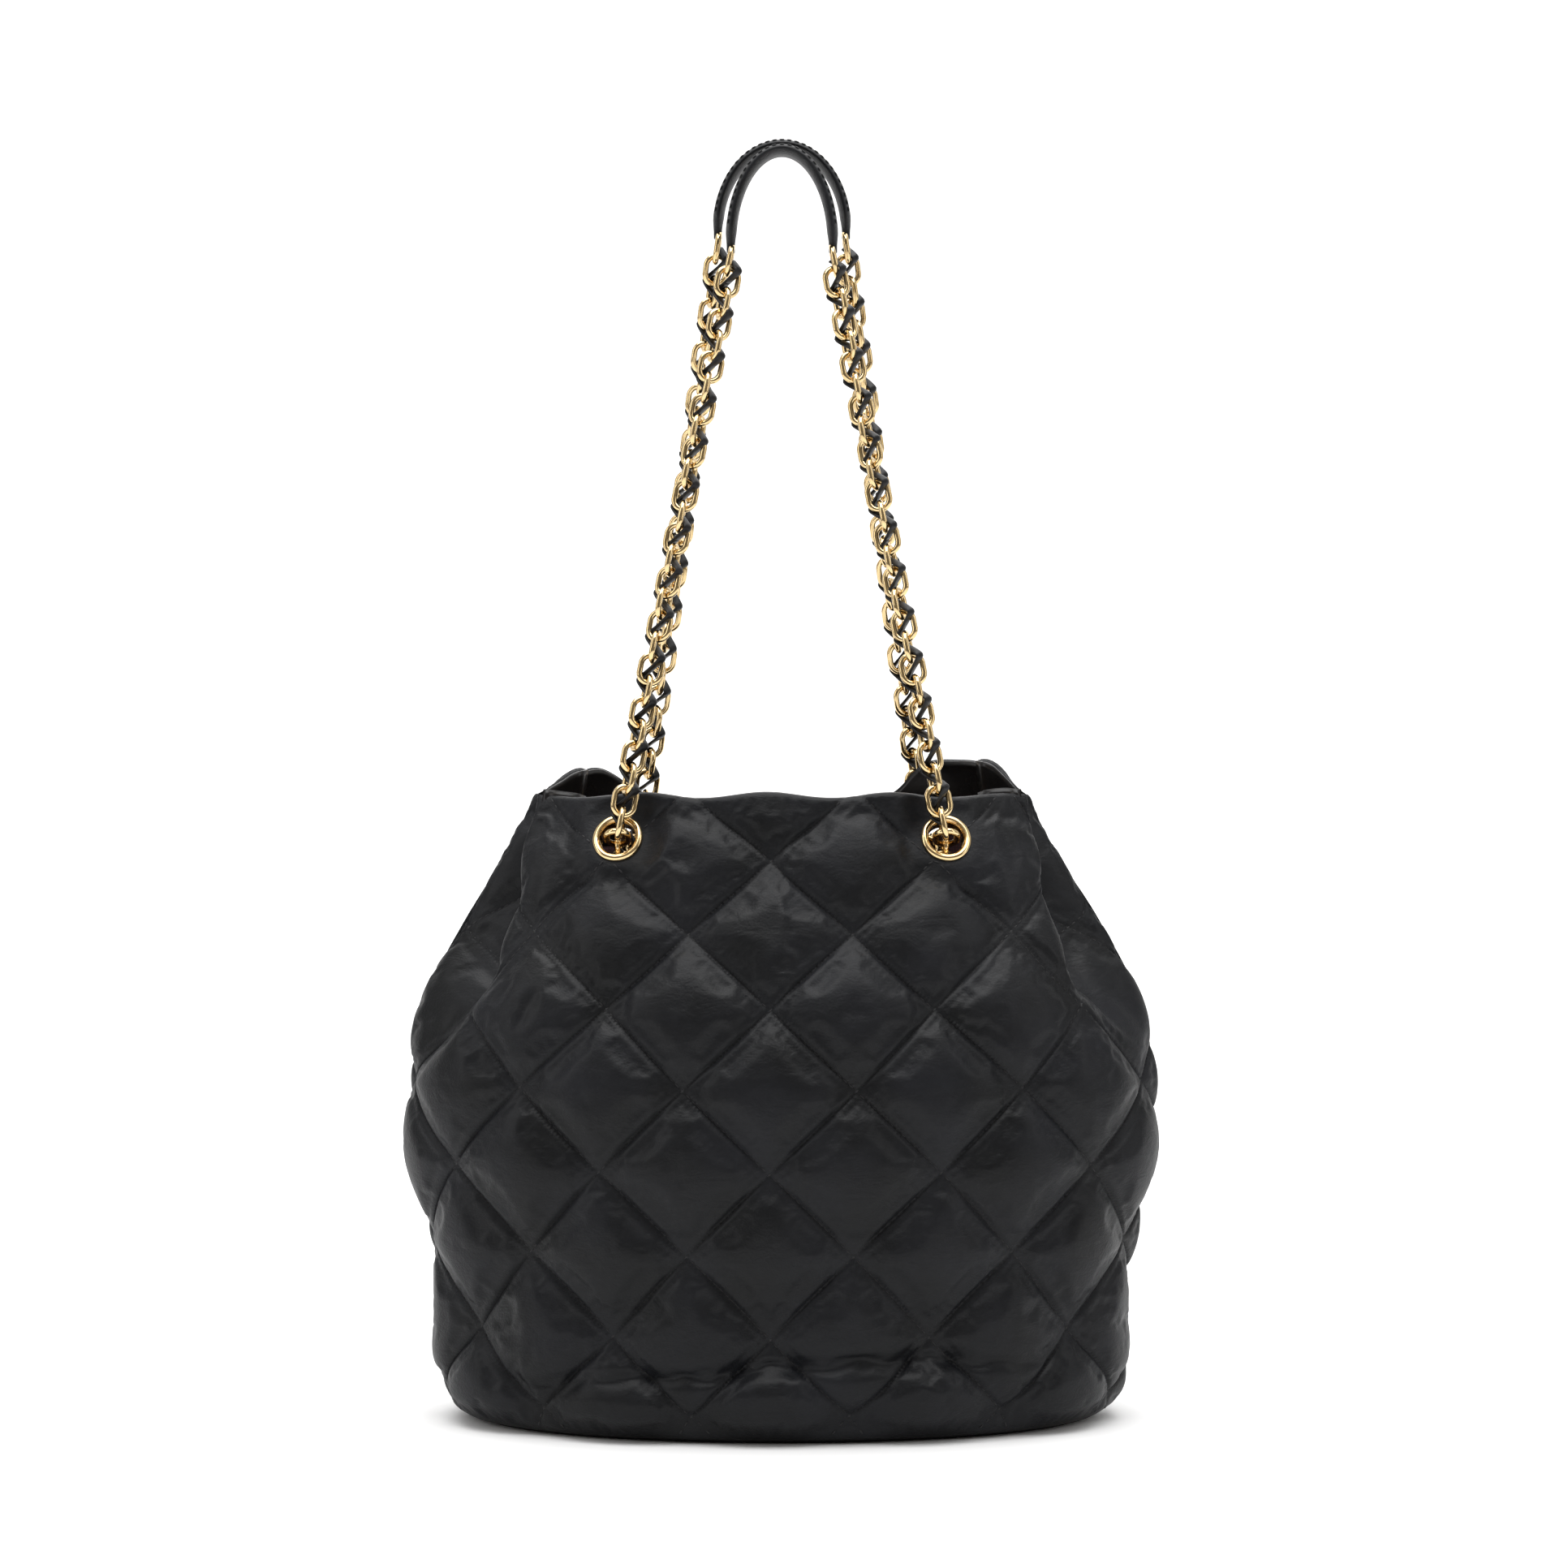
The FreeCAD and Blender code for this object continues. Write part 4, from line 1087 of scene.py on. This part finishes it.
@dataclass
class ShoulderPad:
    """Padded leather strap bent in an arch, its tapered ends dropping straight down at each foot."""

    half: str
    width: float = 20.0 * MM
    neck: float = 6.3 * MM
    neck_thick: float = 4.0 * MM
    thick: float = 5.4 * MM
    edge: float = 1.9 * MM
    taper: float = 11.0 * MM
    lug: float = 3.2 * MM
    stitch_inset: float = 2.1 * MM

    def path(self) -> np.ndarray:
        """Middle line of the strap."""
        low, high = (np.array(v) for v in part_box(self.half + "_shoulder_pad"))
        wide = (high[0] - low[0]) / 2 - 2.5 * MM
        spring = low[2] + 1.6 * self.lug
        tall = high[2] - 2.6 * MM - spring
        turn = np.linspace(0, math.pi, 61)
        arch = np.stack([-wide * np.cos(turn), np.zeros_like(turn), spring + tall * np.sin(turn)], axis=1)
        drop = np.linspace(spring - low[2] - 0.8 * MM, 0.6 * MM, 5)[:, None] * np.array([0, 0, -1])
        path = np.concatenate([arch[:1] + drop, arch, arch[-1:] + drop[::-1]])
        path[:, 1] = (low[1] + high[1]) / 2
        return path

    def build(self, finishes: "Finishes", tree: Tree) -> None:
        """Builds the strap and its two rows of edge stitching."""
        path = self.path()
        run = np.concatenate([[0], np.cumsum(np.linalg.norm(np.diff(path, axis=0), axis=1))])
        from_end = np.minimum(run, run[-1] - run)
        grown = smooth_step(2.5 * MM, self.taper, from_end)
        wide = self.neck + (self.width - self.neck) * grown
        thick = self.neck_thick + (self.thick - self.neck_thick) * grown
        around = np.linspace(0, 2 * math.pi, 32, endpoint=False)
        across = squared(np.cos(around), 0.55)
        crown = np.clip(1 - np.abs(across) ** 2.6, 0, 1)
        rise = squared(np.sin(around), 0.5)
        section = np.zeros((len(path), len(around), 2))
        for row in range(len(path)):
            deep = self.edge + (thick[row] - self.edge) * crown
            section[row, :, 0] = across * wide[row] / 2
            section[row, :, 1] = rise * deep / 2
        side_way = np.tile(np.array([0.0, 1.0, 0.0]), (len(path), 1))
        strap = swept(path, side_way, section, self.half + "_padded_strap", finishes.leather)
        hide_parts(self.half + "_shoulder_pad")
        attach(strap, self.half + "_pad")
        rows = []
        inner = slice(9, -9)
        outward = unit(np.cross(side_way, np.gradient(path, axis=0)))
        outward *= np.sign(outward[len(path) // 2, 2])
        for sign in (1, -1):
            off = side_way * (sign * (wide / 2 - self.stitch_inset))[:, None]
            lift = self.edge / 2 + (thick - self.edge) / 2 * 0.5
            rows.append((path + off + outward * lift[:, None])[inner])
        points = np.concatenate(rows)
        count = len(rows[0])
        guide = new_object(self.half + "_strap_stitches", points, [])
        guide.data.clear_geometry()
        edges = [(i, i + 1) for i in range(2 * count - 1) if i != count - 1]
        guide.data.from_pydata([tuple(p) for p in points], edges, [])
        stitches = instanced(guide.name, tree, guide, Material=finishes.thread, Radius=0.4 * MM)
        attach(stitches, self.half + "_pad")


# ---- finishes in use
@dataclass
class Finishes:
    """Every finish of the bag, built once."""

    leather: Material = field(default_factory=lambda: Leather().build())
    facing: Material = field(default_factory=lambda: Leather(
        name="glossy_calfskin", deep="#0c0b0c", worn="#1a1818", roughness=0.24, coat=0.35,
        grain=Grain.GLOSSY).build())
    lace: Material = field(default_factory=lambda: Leather(
        name="lace_leather", deep="#0d0c0d", worn="#1b1a1b", roughness=0.38, coat=0.15,
        grain=Grain.GLOSSY).build())
    base: Material = field(default_factory=lambda: Leather(
        name="base_leather", deep="#08090b", worn="#121215", roughness=0.5, coat=0.05).build())
    metal: Material = field(default_factory=lambda: PlatedMetal().build())
    zip_metal: Material = field(default_factory=lambda: PlatedMetal(
        name="gold_zip_metal", roughness=0.2).build())
    lining: Material = field(default_factory=lambda: Woven(
        name="burgundy_twill", warp="#4a1620", weft="#2c0c13").build())
    tape: Material = field(default_factory=lambda: Woven(
        name="zip_tape_weave", warp="#3c121a", weft="#1d080c", thread_mm=0.45).build())
    board: Material = field(default_factory=lambda: Fibre(
        name="pressed_fibre_board", colour="#8a7454", fibre_mm=1.2).build())
    wadding: Material = field(default_factory=lambda: Fibre(
        name="black_polyester_wadding", colour="#2b2a2a", fibre_mm=0.9).build())
    thread: Material = field(default_factory=lambda: Thread().build())

    def of_nodes(self) -> dict[str, tuple[Material, str]]:
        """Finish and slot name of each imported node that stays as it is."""
        nodes = {"base_panel": (self.base, "leather"), "base_board": (self.board, "board"),
                 "base_lining": (self.lining, "lining"), "snap_stud": (self.metal, "gold_metal"),
                 "snap_socket": (self.metal, "gold_metal"), "pocket_bag": (self.lining, "lining"),
                 "zip_tapes": (self.tape, "zip_tape"), "zip_teeth": (self.zip_metal, "zip_metal"),
                 "zip_slider": (self.zip_metal, "zip_metal"), "zip_puller": (self.zip_metal, "zip_metal")}
        for half, side in PLACES:
            nodes["eyelet_%s_%s" % (half, side)] = (self.metal, "gold_metal")
            nodes["eyelet_washer_%s_%s" % (half, side)] = (self.metal, "gold_metal")
        for side in SIDES:
            nodes["inner_chain_" + side] = (self.metal, "gold_metal")
            nodes["inner_lace_" + side] = (self.lace, "lace")
        for half in HALVES:
            nodes[half + "_pad_links"] = (self.metal, "gold_metal")
        return nodes

    def dress(self, nodes: dict[str, Thing]) -> None:
        """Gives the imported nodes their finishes."""
        for name, (material, _) in self.of_nodes().items():
            for place in nodes[name].material_slots:
                place.link = "OBJECT"
                place.material = material


def quilting_stitches(half: QuiltedHalf, finishes: Finishes, tree: Tree) -> None:
    """Lays stitches along the quilting's seams on the outer leather.

    Args:
        half: The half of the bag, with its leather built.
        finishes: Finishes in use.
        tree: Tree that lays stitches.
    """
    form, outer = half.form, half.outer
    rows, columns = form.crossing_numbers()
    tall, wide = outer.shape[:2]
    first = 2 * rows[0] + np.arange(tall)[:, None]
    across = 2 * columns[0] + np.arange(wide)[None, :]
    lifted = outer + grid_normals(outer, FACING_SIGN[half.half]) * 0.12 * MM
    clear = np.ones((tall, wide), bool)
    for seat in half.seats.seats:
        clear &= np.linalg.norm(outer - seat.centre, axis=-1) > 13 * MM
    edges = []
    for sign in (1, -1):
        on_seam = ((across + sign * first) % (2 * form.steps) == 0) & clear
        for row, column in zip(*np.nonzero(on_seam)):
            beside = column - sign
            if 2 < row < tall - 4 and 2 < beside < wide - 3 and on_seam[row + 1, beside]:
                edges.append((row * wide + column, (row + 1) * wide + beside))
    used = np.unique(np.array(edges))
    number = np.full(tall * wide, -1)
    number[used] = np.arange(len(used))
    guide = new_object(half.half + "_quilting_stitches", np.zeros((0, 3)), [])
    guide.data.from_pydata([tuple(p) for p in lifted.reshape(-1, 3)[used]],
                           [(int(number[a]), int(number[b])) for a, b in edges], [])
    stitches = instanced(guide.name, tree, guide, Material=finishes.thread)
    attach(stitches, "bag")
    log.info("%s has %d faces", stitches.name, len(stitches.data.polygons))


# ---- studio
@dataclass
class Studio:
    """White sweep, soft lights and camera."""

    camera_at: tuple[float, float, float] = (0.001, -1.70, 0.303)
    lens: float = 81.2
    reach: float = 2.6
    front: float = -3.4
    sweep_back: float = 1.1
    bend: float = 0.8

    def sweep(self) -> Thing:
        """Floor that curves up into a backdrop."""
        turn = np.linspace(0, math.pi / 2, 24)
        floor = [(self.front, 0.0), (self.sweep_back, 0.0)]
        curve = [(self.sweep_back + self.bend * math.sin(t), self.bend * (1 - math.cos(t)))
                 for t in turn[1:]]
        line = np.array(floor + curve + [(self.sweep_back + self.bend, 3.4)])
        sides = np.array([-self.reach, self.reach])
        points = [(x, y, z) for y, z in line for x in sides]
        faces = grid_faces(len(line), 2)
        material, tree, place = start_finish("matt_white_paper")
        tooth = add_node(tree, "ShaderNodeTexNoise", {
            "Vector": place, "Scale": 1 / (6 * MM), "Detail": 3.0})
        end_finish(material, {
            "Base Color": linear("#f7f7f7"), "Roughness": 0.9,
            "Normal": bumped(tree, tooth.outputs["Fac"], 0.03, 0.2)})
        return new_object("sweep", np.array(points), faces, material)

    def lamp(self, name: str, place: tuple, aim: tuple, size: tuple[float, float],
             power: float) -> Thing:
        """A soft rectangular lamp that faces a point."""
        light = bpy.data.lights.new(name, "AREA")
        light.shape = "RECTANGLE"
        light.size, light.size_y = size
        light.energy = power
        lamp = bpy.data.objects.new(name, light)
        lamp.location = place
        lamp.rotation_euler = (Vector(aim) - Vector(place)).to_track_quat("-Z", "Y").to_euler()
        bpy.context.scene.collection.objects.link(lamp)
        return lamp

    def build(self) -> None:
        """Builds the sweep, lamps, world and camera."""
        scene = bpy.context.scene
        middle = (0.0, 0.0, 0.25)
        things = [self.sweep(),
                  self.lamp("overhead", (0.0, -0.5, 2.3), middle, (2.2, 1.8), 52.0),
                  self.lamp("left_box", (-1.9, -0.9, 1.1), middle, (0.6, 1.6), 9.0),
                  self.lamp("right_box", (1.9, -0.9, 1.1), middle, (0.6, 1.6), 7.0),
                  self.lamp("backdrop", (0.0, 0.9, 2.6), (0.0, 1.9, 0.6), (3.0, 0.8), 34.0)]
        world = bpy.data.worlds.new("room")
        world.use_nodes = True
        world.node_tree.nodes.clear()
        tree = world.node_tree
        toward = add_node(tree, "ShaderNodeTexCoord").outputs["Generated"]
        way = add_node(tree, "ShaderNodeSeparateXYZ", {0: toward})
        behind = add_node(tree, "ShaderNodeMapRange", {
            "Value": way.outputs[1], "From Min": -0.25, "From Max": 0.5})
        above = add_node(tree, "ShaderNodeMapRange", {
            "Value": way.outputs[2], "From Min": 0.45, "From Max": 0.8})
        bright = maths(tree, "MAXIMUM", behind.outputs[0], above.outputs[0])
        ramp = add_node(tree, "ShaderNodeValToRGB", {"Fac": bright})
        ramp.color_ramp.elements[0].color = linear("#8a857f")
        ramp.color_ramp.elements[1].color = linear("#ffffff")
        light = add_node(tree, "ShaderNodeBackground", {"Color": ramp.outputs["Color"], "Strength": 0.8})
        add_node(tree, "ShaderNodeOutputWorld", {"Surface": light.outputs[0]})
        scene.world = world
        scene.view_settings.view_transform = "Standard"
        eye = bpy.data.objects.new("camera", bpy.data.cameras.new("camera"))
        eye.data.lens = self.lens
        eye.data.sensor_width = 36.0
        eye.location = self.camera_at
        eye.rotation_euler = (math.pi / 2, 0, 0)
        scene.collection.objects.link(eye)
        scene.camera = eye


def main() -> None:
    """Builds the whole bag and its studio."""
    logging.basicConfig(level=logging.INFO, format="%(message)s")
    finishes = Finishes()
    nodes = frame["nodes"]
    finishes.dress(nodes)
    low, high = (np.array(v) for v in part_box("front_panel"))
    form = BagForm(half_width=(high[0] - low[0]) / 2, half_depth=-low[1], height=300 * MM)
    stitching = stitch_tree()
    for half in HALVES:
        seats = [EyeletSeat.read(nodes["eyelet_%s_%s" % (half, side)], FACING_SIGN[half])
                 for side in SIDES]
        quilted = QuiltedHalf(half, form, Seats(seats))
        quilted.build(finishes)
        quilting_stitches(quilted, finishes, stitching)
    ring = ChainLink().build()
    chains = chain_tree()
    for half in HALVES:
        Handle(half, ring, chains).build(finishes)
        ShoulderPad(half).build(finishes, stitching)
    bpy.data.objects.remove(ring)
    Studio().build()


if __name__ == "__main__":
    main()
